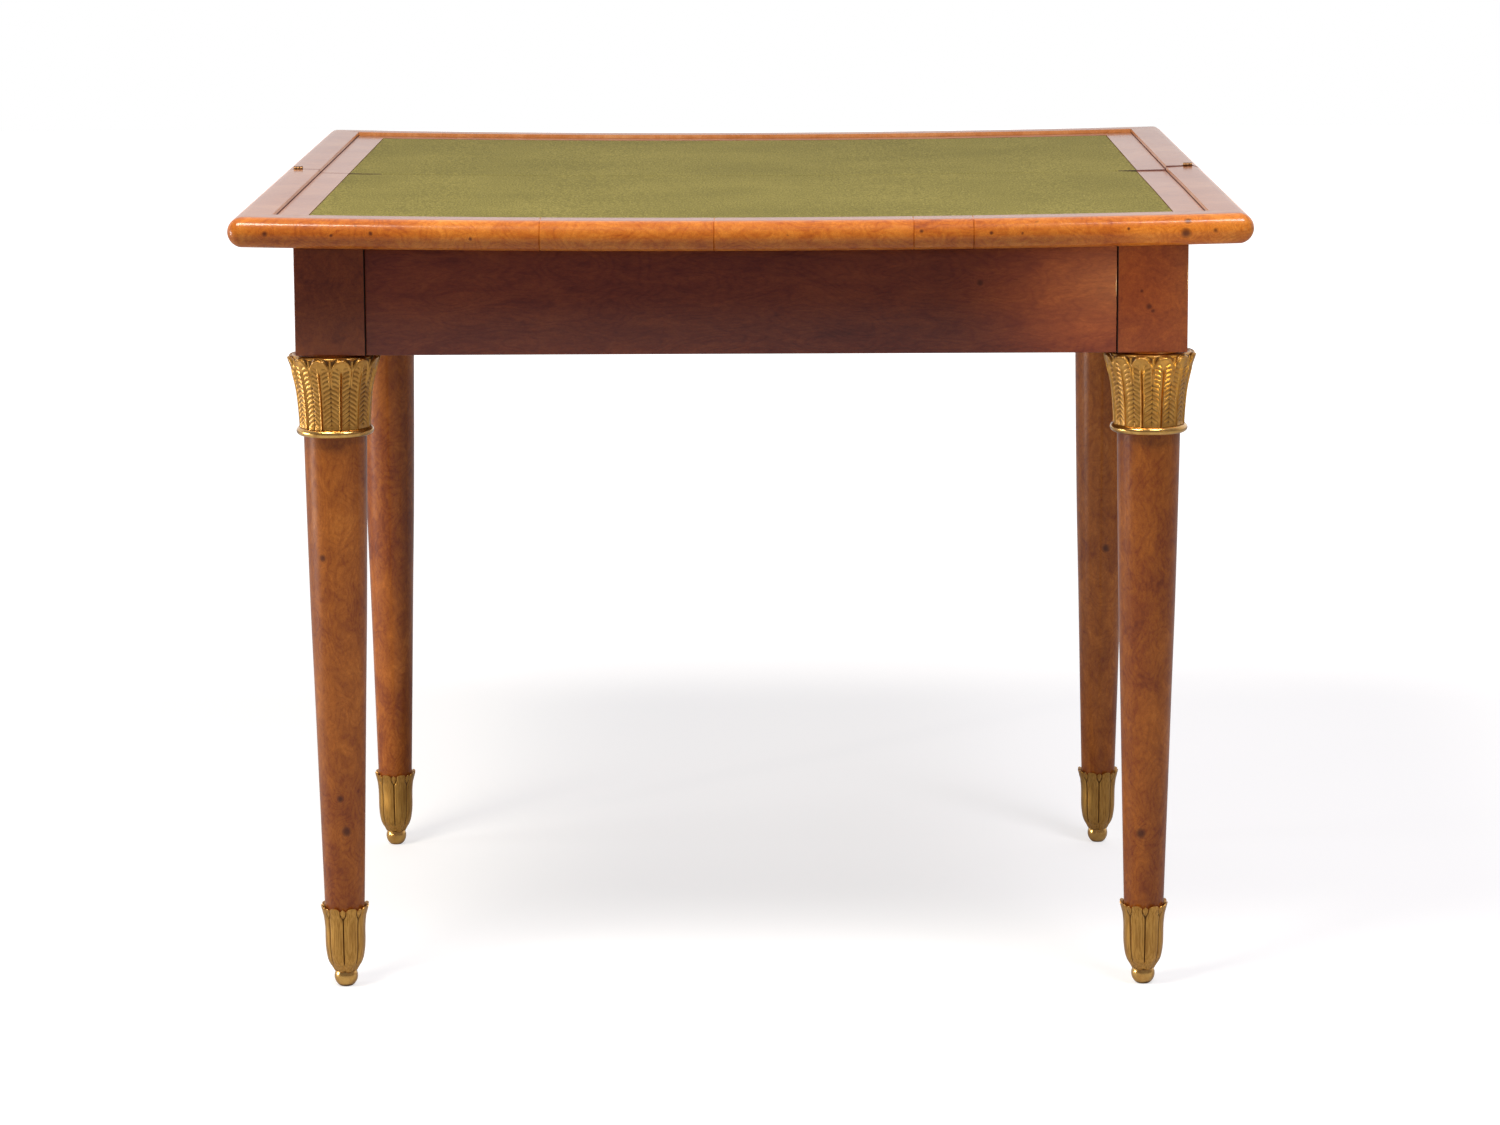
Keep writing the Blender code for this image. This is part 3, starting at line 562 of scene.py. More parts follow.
# %% [markdown]
# ## Mouldings round the top
#
# Each leaf is edged by a moulding with a half-round nose, a flat and a small step that drops
# to the strip round the baize. It is one section carried along the edge, so it is built as
# rings: many of them round the corner, and enough along the edge for the bow. Where two
# lengths of veneer meet on the nose, a fine groove shows, so the section shrinks a little
# there. Dirt gathers in the mitres, so they get the grime. The step is rubbed paler than the
# nose. Its foot and the eased edges of the fold are worn dull and painted dark as the shade
# there, and below them the faces in the fold are veneered as dark as the frame.

# %% The section of the moulding
nose_steps = 22
step_steps = 6
arris = 0.0004


def border_section():
    """Distance in from the outer edge and height over the floor, from the underside outwards."""
    half = leaf_thickness / 2
    section = arc((nose_radius, table_height - half), (nose_radius, half), -pi / 2, -3 * pi / 2,
                  nose_steps)
    section.append((border_flat_end - arris, table_height))
    section.append((border_flat_end - arris / 4, table_height - arris / 6))
    for number in range(1, step_steps + 1):
        share = number / step_steps
        drop = border_bevel_drop * (0.8 * share + 0.2 * sin(share * pi / 2))
        section.append((border_flat_end + share * (border_width - border_flat_end),
                        table_height - drop))
    section.append((border_width, leaf_bottom))
    return section


section = border_section()
section_centre = (border_width / 2, table_height - leaf_thickness / 2)
print("moulding section has", len(section), "points")

# %% The path of the moulding
corner_steps = 10
straight_steps = 40
side_steps = 14
# The edges along the fold are rounded over by wear
fold_ease = 0.0014
fold_shrink = 0.90
groove_half_width = 0.0006
groove_shrink = 0.955


def ring_at(place, facing, shrink=1.0):
    """One ring of the moulding, lifted by the bow; place turns an inset into x and depth."""
    ring = []
    for inset, height in section:
        inset = section_centre[0] + (inset - section_centre[0]) * shrink
        height = section_centre[1] + (height - section_centre[1]) * shrink
        x, depth = place(inset)
        ring.append((x, facing * depth, height))
    return bowed(ring)


def corner_ring(turn, side, facing, back_x=0.0, back_y=0.0):
    """The ring at a turn from the end towards the long edge, drawn back from the mitre."""
    def place(inset):
        radius = max(corner_radius - inset, 0.0)
        away = max(corner_radius, inset)
        return (side * (top_width / 2 - away + radius * cos(turn) - back_x),
                leaf_depth - away + radius * sin(turn) - back_y)

    return ring_at(place, facing)


def long_moulding(facing, joints=()):
    """The border along the long outer edge, from mitre to mitre."""
    turns = [pi / 4 * (1 + number / corner_steps) for number in range(corner_steps + 1)]
    rings = [corner_ring(turn, -1, facing, back_x=joint_gap / 2) for turn in turns]
    half = top_width / 2 - border_width
    stations = [(x, 1.0) for x in np.linspace(-half, half, straight_steps)]
    for joint in joints:
        stations += [(joint - groove_half_width, 1.0), (joint, groove_shrink),
                     (joint + groove_half_width, 1.0)]
    for x, shrink in sorted(stations):
        rings.append(ring_at(lambda inset: (x, leaf_depth - inset), facing, shrink))
    rings += [corner_ring(turn, 1, facing, back_x=joint_gap / 2) for turn in turns[::-1]]
    return skin(rings)


def side_moulding(side, facing):
    """The border along an end of the leaf, from the fold to the mitre."""
    depths = np.linspace(joint_gap / 2 + fold_ease, leaf_depth - border_width, side_steps)
    rings = []
    for depth, shrink in ((joint_gap / 2, fold_shrink), *((depth, 1.0) for depth in depths)):
        rings.append(ring_at(lambda inset: (side * (top_width / 2 - inset), depth), facing, shrink))
    for number in range(corner_steps + 1):
        turn = pi / 4 * number / corner_steps
        rings.append(corner_ring(turn, side, facing, back_y=joint_gap / 2))
    return skin(rings)


leaves = (("front_leaf", -1), ("back_leaf", 1))
# The mitres' direction is 1.41 long
mitre_closeness = 1.38
for leaf, facing in leaves:
    node = leaf + ("_front_moulding" if facing < 0 else "_back_moulding")
    joints = (*nose_joints, nose_crack) if facing < 0 else ()
    mesh = clean_mesh(node, *long_moulding(facing, joints))
    piece = make_piece(node, mesh, nose_burr)
    backed(piece, (0, 0, 1), strip_burr, squarely)
    backed(piece, (0, -facing, 0), step_burr, slanted)
    for side, word in sides:
        backed(piece, (side, -facing, 0), grime_and_gap_shadow, mitre_closeness)
print("front nose joints at", nose_joints)

# %% [markdown]
# ## Hinge pockets
#
# A butt hinge sits in a pocket cut into both neighbours: a narrow slot for the plates and a
# round channel for the barrel. The same cutter makes the pockets in the mouldings' ends and
# in the back posts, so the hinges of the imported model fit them.

# %% Cut a hinge pocket
barrel_steps = 16


def cut_pocket(piece, place, x_axis, z_axis, knuckle, width, thickness, height):
    """Cut a hinge's space; in its frame the pin runs up Z from 0 and the plates reach along +X."""
    radius = knuckle + 2 * fit
    half_slot = joint_gap / 2 + thickness + fit
    start = asin(half_slot / radius)
    outline = [(width + fit, -half_slot), (width + fit, half_slot)]
    outline += arc((0.0, 0.0), (radius, radius), start, 2 * pi - start, barrel_steps)
    mesh = clean_mesh("pocket", *skin([[(x, y, z) for x, y in outline]
                                       for z in (-fit, height + fit)]))
    x_axis = Vector(x_axis)
    z_axis = Vector(z_axis)
    matrix = Matrix((x_axis, z_axis.cross(x_axis), z_axis)).transposed().to_4x4()
    mesh.transform(Matrix.Translation(place) @ matrix)
    cutter = new_object("pocket", mesh)
    modifier = piece.modifiers.new("pocket", "BOOLEAN")
    modifier.operation = "DIFFERENCE"
    modifier.solver = "EXACT"
    modifier.object = cutter
    bpy.context.view_layer.update()
    applied(piece).set_sharp_from_angle(angle=radians(smooth_angle))
    bpy.data.objects.remove(cutter, do_unlink=True)


leaf_fold = next(joint for joint in frame["joints"] if joint["name"] == "leaf_fold")
fold_height = leaf_fold["pos_m"][2]
leaf_hinge = {"knuckle": 0.0025, "width": 0.016, "thickness": 0.0012, "height": 0.009}
leaf_hinge_x = 0.451
for leaf, facing in leaves:
    for side, word in sides:
        node = f"{leaf}_{word}_moulding"
        piece = make_piece(node, clean_mesh(node, *side_moulding(side, facing)), nose_burr)
        place = (side * leaf_hinge_x - leaf_hinge["height"] / 2, 0.0, fold_height)
        cut_pocket(piece, place, (0, 0, -1), (1, 0, 0), **leaf_hinge)
        backed(piece, (0, 0, 1), strip_burr)
        backed(piece, (-side, 0, 0), step_burr, slanted)
        # The step's foot and the fold's eased edges are worn matt and painted dark brown as shade
        backed(piece, (-side, 0, 0), worn_and_shaded_edge, dead_square)
        backed(piece, (0, -facing, 0), worn_and_shaded_edge, any_slant)
        backed(piece, (0, -facing, 0), apron_burr, squarely)
print("leaf hinges at", leaf_hinge_x, "m from the middle,", round(fold_height, 4), "m up")

# %% [markdown]
# ## The panels and the baize
#
# Inside its moulding each leaf is a panel with a strip of veneer on three sides and a
# shallow recess for the baize. Both panel and cloth are grids of points with a height for
# each, so the recess, the eased edges and the slight unevenness of old glued cloth are all
# heights in one function. The underside of the back leaf becomes the outer face of the
# closed table, so it is veneered; the front leaf's underside is bare oak.

# %% Build a slab from a grid of heights
def slab(xs, ys, top, bottom, facing):
    """A closed slab over a grid, lifted by the bow; top gives a height for each x and depth."""
    rings = []
    for x in xs:
        upper = [(x, facing * y, top(x, y)) for y in ys]
        rings.append(bowed(upper + [(x, facing * y, bottom) for y in ys[::-1]]))
    points, faces = skin(rings, ends="open")
    count = len(rings[0])
    last = (len(rings) - 1) * count
    for j in range(len(ys) - 1):
        faces.append((j + 1, j, count - 1 - j, count - 2 - j))
        faces.append((last + j, last + j + 1, last + count - 2 - j, last + count - 1 - j))
    return points, faces


panel_half = top_width / 2 - border_width - joint_gap
panel_outer = leaf_depth - border_width - joint_gap
recess_half = panel_half - strip_width
recess_outer = panel_outer - strip_width
wall = 0.00001
ease = 0.0004


def panel_top(x, depth):
    """The strip's level, the recess for the baize and the eased outer edges."""
    if abs(x) < recess_half - wall / 2 and depth < recess_outer - wall / 2:
        return strip_level - baize_thickness
    edge = min(panel_half - abs(x), panel_outer - depth)
    drop = max(ease - edge, fold_ease - (depth - joint_gap / 2), 0.0)
    return strip_level - drop


inner_xs = list(np.linspace(-recess_half + wall, recess_half - wall, 36))
panel_xs = [-panel_half, -panel_half + ease, -recess_half, *inner_xs, recess_half,
            panel_half - ease, panel_half]
panel_ys = [joint_gap / 2, joint_gap / 2 + fold_ease, sunk_reach, recess_outer - wall,
            recess_outer, panel_outer - ease, panel_outer]
for leaf, facing in leaves:
    mesh = clean_mesh(leaf, *slab(panel_xs, panel_ys, panel_top, leaf_bottom, facing))
    piece = make_piece(leaf + "_core", mesh, strip_burr)
    backed(piece, (0, 0, -1), oak if facing < 0 else outer_burr)
    # The eased edges along the fold are worn matt and painted dark brown as the fold's shade
    backed(piece, (0, -facing, 0), worn_and_shaded_edge, any_slant)
    backed(piece, (0, -facing, 0), apron_burr, squarely)
print("panel", round(2 * panel_half, 4), "by", round(panel_outer, 4), "m")

# %% Lay the baize
baize_half = recess_half - fit
baize_outer = recess_outer - fit
cloth_edge = 0.0012
cloth_round = 0.0007
cloth_rise = 0.00012
cloth_waves = 28


def baize_top(x, depth, facing):
    """Cloth glued down: rounded over at its cut edges, and not quite even."""
    edge = min(baize_half - abs(x), baize_outer - depth, depth - joint_gap / 2)
    share = min(edge / cloth_edge, 1.0)
    drop = cloth_round * (1.0 - sqrt(1.0 - (1.0 - share) ** 2))
    uneven = cloth_rise * noise.noise(Vector((x * cloth_waves, depth * cloth_waves, 0.0)))
    # At both ends of the fold the front cloth has sunk below the back one: this says from how
    # far out, and by how much at most
    start, most = (0.352, 0.0006) if x < 0 else (0.370, 0.0003)
    sunk = min(max((abs(x) - start) / 0.03, 0.0), 1.0) * exp(-depth / 0.016)
    return strip_level - cloth_rise - drop - (most * sunk if facing < 0 else 0.0) + uneven


def cloth_lines(start, end, count):
    """Grid lines from edge to edge, close together where the cut edges are rounded over."""
    near = [cloth_edge * share for share in (0.0, 0.12, 0.4, 1.0, 2.0)]
    inset = 0.004
    return [*(start + line for line in near), *np.linspace(start + inset, end - inset, count),
            *(end - line for line in near[::-1])]


baize_xs = cloth_lines(-baize_half, baize_half, 110)
baize_ys = cloth_lines(joint_gap / 2, baize_outer, 54)
# Where the fold is seen as a dark line, the cloths' faces in the fold get the grime, painted as
# the shadow in the gap
fold_line_left = -0.364
fold_line_right = 0.378
fold_line_width = 0.0013
for leaf, facing in leaves:
    node = leaf + "_baize"
    mesh = clean_mesh(node, *slab(baize_xs, baize_ys, lambda x, depth: baize_top(x, depth, facing),
                                  strip_level - baize_thickness + fit, facing))
    piece = make_piece(node, mesh, baize)
    piece.data.materials.append(grime_and_gap_shadow)
    for face in piece.data.polygons:
        x, y, z = face.center
        if not fold_line_left < x < fold_line_right and abs(y) < fold_line_width:
            face.material_index = 1
print("each baize is", round(2 * baize_half, 4), "by", round(baize_outer, 4), "m")

# %% [markdown]
# ## Boards with eased edges
#
# No edge on real furniture is perfectly sharp: a craftsman eases it with a stroke of glass
# paper, and it catches a line of light. The rails, blocks and hinge plates have the right
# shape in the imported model, so each gets a copy of its mesh with the edges bevelled. Veneer
# goes only where it is seen, so the insides and the top edges of the frame stay bare oak.

# %% Ease the edges of the flat pieces
board_ease = 0.0008
post_ease = 0.0011
plate_ease = 0.00015
# Points closer than this are one, faces that turn by less are flat, edges that turn by more
# are bevelled
cad_weld_distance = 0.00001
flat_angle = 1.0
bevel_angle = 40.0


def eased(node, width, material, inside=None):
    """A copy of a CAD node with bevelled edges; its top edge and the inside are left bare."""
    mesh = frame["nodes"][node].data.copy()
    bm = bmesh.new()
    bm.from_mesh(mesh)
    bmesh.ops.remove_doubles(bm, verts=bm.verts, dist=cad_weld_distance)
    bmesh.ops.dissolve_limit(bm, angle_limit=radians(flat_angle), verts=bm.verts, edges=bm.edges)
    bm.to_mesh(mesh)
    bm.free()
    piece = make_piece(node, mesh, material)
    modifier = piece.modifiers.new("ease", "BEVEL")
    modifier.width = width
    modifier.segments = 2
    modifier.limit_method = "ANGLE"
    modifier.angle_limit = radians(bevel_angle)
    bpy.context.view_layer.update()
    applied(piece).set_sharp_from_angle(angle=radians(smooth_angle))
    if inside:
        backed(piece, inside, oak)
        backed(piece, (0, 0, 1), oak)
    return piece


front_apron = eased("front_apron", post_ease, apron_burr, (0, 1, 0))
# The apron's ends, where they meet the posts, get the grime as dirt and painted shadow in the joint
for side, word in sides:
    backed(front_apron, (side, 0, 0), grime_and_gap_shadow, half_slanted)
eased("back_apron", board_ease, apron_burr, (0, -1, 0))
for side, word in sides:
    for rail in ("side_rail", "rail_front_half", "rail_back_half"):
        eased(f"{rail}_{word}", board_ease, apron_burr, (-side, 0, 0))
    for block in ("corner_brace", "corner_block", "glue_block"):
        eased(f"{block}_{word}", board_ease, oak)
    for joint in ("front", "middle", "back"):
        for plate in ("fixed", "moving"):
            eased(f"{joint}_hinge_{plate}_plate_{word}", plate_ease, hinge_brass)
    for end in ("front", "back"):
        eased(f"leaf_hinge_{end}_plate_{word}", plate_ease, leaf_hinge_brass)
eased("cross_rail", board_ease, oak)
print("edges eased by", board_ease * 1000, "mm on boards")

# %% [markdown]
# ## Legs and posts
#
# Each leg is turned: fat at the top and tapering with a slight swell. The post above it is a
# square block that the rails are joined to, and on the real table both are one length of
# timber under the veneer. The turned part is a profile carried round the axis. The measured
# points of the profile are joined by a smooth curve, so that no ridge shows in the gloss.

# %% Turn the legs
leg_top_radius = 0.0302
leg_shares = ((0.0, 0.5562), (0.304, 0.7185), (0.458, 0.798), (0.612, 0.884), (0.864, 0.9735),
              (1.0, 1.0))
back_girth = 0.945
sabot_shoulder = 0.069
sabot_wall = 0.0026
leg_foot = 0.0243
leg_steps = 80


def smooth_curve(table, share):
    """A smooth value between the pairs of a table, sorted by their first numbers."""
    for number in range(len(table) - 1):
        low, low_value = table[number]
        high, high_value = table[number + 1]
        if share <= high or number == len(table) - 2:
            break
    slopes = []
    for centre in (number, number + 1):
        before = table[max(centre - 1, 0)]
        after = table[min(centre + 1, len(table) - 1)]
        slopes.append((after[1] - before[1]) / (after[0] - before[0]))
    span = high - low
    t = (share - low) / span
    return ((2 * t ** 3 - 3 * t ** 2 + 1) * low_value + (t ** 3 - 2 * t ** 2 + t) * span * slopes[0]
            + (3 * t ** 2 - 2 * t ** 3) * high_value + (t ** 3 - t ** 2) * span * slopes[1])


def leg_radius(height, girth=1.0):
    """The leg's radius at a height over the floor."""
    return girth * leg_top_radius * smooth_curve(leg_shares, height / apron_bottom)


def turned(profile, steps, loop=False):
    """Carry a profile of (radius, height) points round the Z axis."""
    turns = [2 * pi * i / steps for i in range(steps)]
    rings = [[(radius * cos(turn), radius * sin(turn), height) for turn in turns]
             for radius, height in profile]
    return skin(rings, ends="loop" if loop else "cap")


def eased_box(low, high, width):
    """A box whose edges are rounded over."""
    bm = bmesh.new()
    bmesh.ops.create_cube(bm, size=1.0)
    for vertex in bm.verts:
        vertex.co = [low[i] if vertex.co[i] < 0 else high[i] for i in range(3)]
    bmesh.ops.bevel(bm, geom=bm.edges[:], offset=width, segments=3, profile=0.5, affect="EDGES")
    points = [vertex.co.copy() for vertex in bm.verts]
    faces = [[vertex.index for vertex in face.verts] for face in bm.faces]
    bm.free()
    return points, faces


def leg_mesh(name, girth):
    """The turned leg, about its own axis."""
    profile = [(leg_radius(apron_bottom, girth), apron_bottom + 0.002)]
    for height in np.linspace(apron_bottom, sabot_shoulder, 60):
        profile.append((leg_radius(height, girth), height))
    profile.append((leg_radius(sabot_shoulder, girth) - sabot_wall, sabot_shoulder))
    profile.append((leg_radius(leg_foot, girth) - sabot_wall, leg_foot))
    return clean_mesh(name, *turned(profile, leg_steps))


leg_places = {}


def stand(node, end, word, mesh, material, sharp=carved_angle):
    """Move a mesh that was made about the Z axis to its leg, as the piece for a node."""
    mesh.transform(Matrix.Translation(leg_places[end, word]))
    make_piece(node, mesh, material, sharp)


rail_hinge = {"knuckle": 0.0035, "width": 0.0155, "thickness": 0.0015, "height": 0.060}
rail_pin_inset = 0.0002
girths = (("front", 1.0), ("back", back_girth))
for end, girth in girths:
    for side, word in sides:
        node = f"{end}_leg_{word}"
        low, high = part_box(f"foot_ball_{end}_{word}")
        leg_places[end, word] = (*((low + high) / 2).xy, 0.0)
        stand(node, end, word, leg_mesh(node, girth), leg_burr, smooth_angle)
        low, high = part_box(node)
        block = eased_box((*low.xy, apron_bottom), (*high.xy, frame_top), post_ease)
        post = make_piece(node, clean_mesh("post", *block), post_burr,
                          name=f"{end}_post_{word}")
        # The front posts' sides against the apron get the grime as dirt and painted shadow in the
        # joint
        backed(post, (-side, 0, 0), grime_and_gap_shadow if end == "front" else oak, half_slanted)
        backed(post, (0, 0, 1), oak)
        if end == "back":
            inner_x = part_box(f"side_rail_{word}")[0 if side > 0 else 1].x
            hinge_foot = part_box(f"back_hinge_moving_plate_{word}")[0 if side > 0 else 1].z
            place = (inner_x - side * rail_pin_inset, low.y - joint_gap / 2, hinge_foot)
            cut_pocket(post, place, (side, 0, 0), (0, 0, side), **rail_hinge)
for leg, place in leg_places.items():
    print(*leg, "leg at", [round(value, 4) for value in place[:2]])

# %% [markdown]
# ## The capitals
#
# A bell of gilt bronze flares under each front post, wrapped in twelve upright leaves. Every
# leaf has a double rib, a fan of small barbs that rise from the rib, a raised edge and a
# rounded tip, and small pointed tips fill the gaps. Carving like this is a turned cup whose
# radius is changed point by point. The relief is worked out from two numbers: how far across
# its leaf a point lies, and how far up.

# %% Carve the capital
capital_leaves = 12
capital_columns = 40
capital_rows = 96
capital_height = 0.068
capital_rim = apron_bottom - 0.002
capital_base = capital_rim - capital_height
capital_rim_radius = 0.042
capital_shares = ((0.0, 0.762), (0.243, 0.786), (0.515, 0.833), (0.79, 0.929), (0.93, 0.985),
                  (1.0, 1.0))
leaf_half = 0.0103
arch_height = 0.0125
arch_foot = 0.024
barb_count = 15


def bump_at(distance, width):
    """A smooth hill that is 1 in its middle and falls off over its width."""
    return exp(-(distance / width) ** 2)


def capital_bell(height):
    """The plain radius under the carving."""
    share = (height - capital_base) / capital_height
    return capital_rim_radius * smooth_curve(capital_shares, min(max(share, 0.0), 1.0))


def capital_edge(across):
    """The height of the rim, which dips a little between two leaves."""
    return capital_rim - 0.0004 - 0.0022 * step_at(abs(across), 0.35, 0.95)


# The outline of half a leaf in metres: an arch at the tip, then straight down the side
arch_top = capital_height - 0.0010
leaf_outline = [(leaf_half * sin(turn) ** 0.9, arch_top - arch_height * (1 - cos(turn)))
                for turn in np.linspace(0.0, pi / 2, 28)]
leaf_outline += [(leaf_half, arch_top - arch_height - drop)
                 for drop in np.linspace(0.0006, arch_foot - arch_height, 18)]


def inside_leaf(away, rise):
    """How far inside the leaf's outline a point lies, in metres; negative between the tips."""
    x = away * leaf_half
    nearest = min(hypot(x - px, rise - py) for px, py in leaf_outline)
    if rise < arch_top - arch_height:
        return min(nearest, 0.01) if rise > arch_top - arch_foot else 0.01
    share = (rise - (arch_top - arch_height)) / arch_height
    limit = leaf_half * sqrt(max(1.0 - min(share, 1.0) ** 2, 0.0)) ** 0.9
    return nearest if x < limit and share < 1.0 else -nearest


def capital_relief(across, up):
    """How far the carving stands out, and how hollow it is there; each line is one feature.

    The first number of a feature is its height in metres, and the others say where it lies, in
    shares of the leaf or in metres inside its outline.
    """
    away = abs(across)
    rise = up * capital_height
    inside = inside_leaf(away, rise)
    fading = step_at(rise, arch_top - arch_foot, arch_top - arch_foot + 0.008)
    bead = 0.0011 * bump_at(inside - 0.0009, 0.0007) * fading
    ground = -0.0015 * step_at(-inside, 0.0002, 0.0010)
    stem = 1.0 - step_at(up, 0.74, 0.88)
    ribs = 0.0010 * bump_at(away - 0.11, 0.055) * stem
    seam = -0.0007 * bump_at(away, 0.035) * stem
    swell = 0.0005 * cos(away * pi / 2) + 0.0006 * step_at(up, 0.80, 0.94) * (1.0 - away)
    phase = barb_count * up - 1.8 * away + 0.25 * away * away
    notch = (0.5 - 0.5 * cos(2 * pi * phase)) ** 2
    fan = step_at(away, 0.17, 0.27) * step_at(up, 0.03, 0.07) * step_at(inside, 0.0014, 0.0026)
    barbs = -0.0008 * notch * fan * (1.0 - step_at(up, 0.86, 0.93))
    middle = -0.0004 * bump_at(1.0 - away, 0.05) * (1.0 - fading)
    tip = 0.0016 * bump_at((1.0 - away) * leaf_half, 0.0016 * (1.3 - up) / 0.4)
    tip *= step_at(up, 0.84, 0.88) * step_at(-inside, 0.0, 0.0008)
    curl = 0.0007 * step_at(up, 0.95, 1.0) * step_at(inside, -0.001, 0.001)
    foot = 0.0005 * bump_at(up, 0.02)
    relief = bead + ground + ribs + seam + swell + barbs + middle + tip + curl + foot
    hollow = min(max((0.0004 - relief) / 0.0016, 0.0), 1.0)
    return relief, hollow


def carved_cup(leaves, columns, rows, base, edge, relief, bell, inner, tip_wall, tip_depth):
    """A cup carved outside and plain inside; inner lists (radius, height) from the top down."""
    acrosses = [round(i / columns * 2 - 1, 6) for i in range(columns)]
    lines = []
    for row in range(rows + 1):
        line = []
        for across in acrosses:
            height = base(across) + row / rows * (edge(across) - base(across))
            stand_out, hollow = relief(across, row / rows)
            line.append((bell(height) + stand_out, height, hollow))
        lines.append(line * leaves)
    for drop, wall, lift in ((0.0, 0.45, 0.0003), (0.0, 1.0, 0.0), (tip_depth, 1.0, 0.0)):
        line = []
        for across in acrosses:
            height = edge(across) - drop
            radius = bell(height) + relief(across, 1.0)[0] - tip_wall * wall
            line.append((radius, height + lift, 0.3))
        lines.append(line * leaves)
    steps = leaves * columns
    lines += [[(radius, height, 1.0)] * steps for radius, height in inner]
    turns = [2 * pi * i / steps for i in range(steps)]
    rings = [[(radius * cos(turn), radius * sin(turn), height)
              for turn, (radius, height, hollow) in zip(turns, line)] for line in lines]
    points, faces = skin(rings, ends="loop")
    return points, faces, [hollow for line in lines for radius, height, hollow in line]


capital_inner = [(leg_radius(height) + fit, height) for height in (capital_rim - 0.014, capital_base)]
*capital_cup, capital_hollows = carved_cup(
    capital_leaves, capital_columns, capital_rows, lambda across: capital_base, capital_edge,
    capital_relief, capital_bell, capital_inner, tip_wall=0.0015, tip_depth=0.010)
# The plain lip inside the leaves starts 30 mm up and is rounded over at its rim
lip_start = capital_base + 0.03
lip_wall = 0.0034
lip_round = 0.0022
lip_outer = capital_rim_radius - lip_round
lip_profile = [(leg_radius(lip_start) + 2 * fit, lip_start),
               (capital_bell(lip_start) - 0.0032, lip_start)]
for share in np.linspace(0.5, 0.93, 10):
    height = capital_base + share * capital_height
    lip_profile.append((capital_bell(height) - lip_wall, height))
lip_profile.append((lip_outer, capital_rim - 0.0026))
lip_profile += arc((lip_outer - lip_round, capital_rim - 0.0018), (lip_round, lip_round), 0.0,
                   pi / 2, 8)
lip_profile += [(lip_outer - 0.0050, capital_rim - 0.0002),
                (leg_radius(capital_rim) + 2 * fit, capital_rim - 0.0014)]
lip = turned(lip_profile, 96, loop=True)
capital_points, capital_faces = merged(capital_cup, lip)
capital_hollows += [0.0] * len(lip[0])
for side, word in sides:
    mesh = clean_mesh("capital", capital_points, capital_faces, capital_hollows)
    stand(f"capital_{word}", "front", word, mesh, gilt_bronze)
print("capital points:", len(capital_points))

# %% [markdown]
# ## The collars
#
# Under each capital sits a polished half-round ring. It is turned, with a small fillet above
# and below the bead, and its gloss shows one bright line all round.

# %% Turn the collars
collar_bead = 0.0037
collar_radius = 0.0362
collar_middle = collar_radius - collar_bead
collar_height = capital_base - fit - collar_bead
collar_profile = arc((collar_middle, collar_height), (collar_bead, collar_bead), radians(82),
                     radians(-82), 18)
fillet = collar_middle - 0.0008
collar_inner = leg_radius(collar_height) + fit
for radius, rise in ((fillet, -1), (collar_inner, -1), (collar_inner, 1), (fillet, 1)):
    collar_profile.append((radius, collar_height + rise * collar_bead))
for side, word in sides:
    points, faces = turned(collar_profile, 96, loop=True)
    mesh = clean_mesh("collar", points, faces, [0.05] * len(points))
    stand(f"collar_{word}", "front", word, mesh, gilt_polished, sharp=smooth_angle)
print("collar bead", collar_bead * 1000, "mm in radius")

# %% [markdown]
# ## The sabots and ball feet
#
# Each leg stands in a bronze shoe of eight long plain leaves. The dark groove between two
# leaves forks near the top round a small pointed leaf, so sixteen tips flare out under the
# wood. The shoe stands on a ball, flattened a little where it meets the floor.

# %% Carve the sabots
sabot_leaves = 8
sabot_columns = 36
sabot_rows = 60
sabot_top = 0.080
sabot_foot = 0.015
sabot_tip_radius = 0.0225
sabot_shares = ((0.1875, 0.47), (0.236, 0.565), (0.28, 0.665), (0.3425, 0.752), (0.49, 0.825),
                (0.725, 0.840), (0.844, 0.880), (0.90, 0.920), (1.0, 1.0))
fork_start = 0.80
fork_end = 0.98
fork_width = 0.36
shank_radius = 0.003
plate_top = 0.0238


def sabot_edge(across):
    """The height of the tips: a broad one in each leaf's middle and a small one between."""
    away = abs(across)
    split = 1.0 - fork_width
    if away < split:
        part = away / split
        return sabot_top - 0.0004 - 0.0040 * (1.0 - sqrt(max(1.0 - part ** 2.4, 0.0)))
    part = (1.0 - away) / fork_width
    return sabot_top - 0.0012 - 0.0032 * part ** 1.5


def sabot_relief(across, up):
    """The leaves' swell and the grooves between them, as in the capital's relief."""
    away = abs(across)
    # How far across the groove between the leaves lies; it forks at the top
    fork = 1.0 - fork_width * step_at(up, fork_start, fork_end)
    swell = 0.0005 * cos(min(away / max(fork, 0.01), 1.0) * pi / 2)
    if away > fork:
        swell = 0.0003 * cos((1.0 - away) / max(1.0 - fork, 0.01) * pi / 2)
    groove = -0.0011 * bump_at(away - fork, 0.06) * step_at(up, 0.09, 0.13)
    rim = 0.0004 * min(max((up - 0.86) / 0.14, 0.0), 1.0)
    flutes = -0.00025 * (0.5 - 0.5 * cos(away * 6 * pi)) * (1.0 - step_at(up, 0.10, 0.22))
    relief = swell + groove + rim + flutes
    hollow = min(max((0.0001 - relief) / 0.0009, 0.0), 1.0) * step_at(up, 0.05, 0.12)
    return relief, hollow


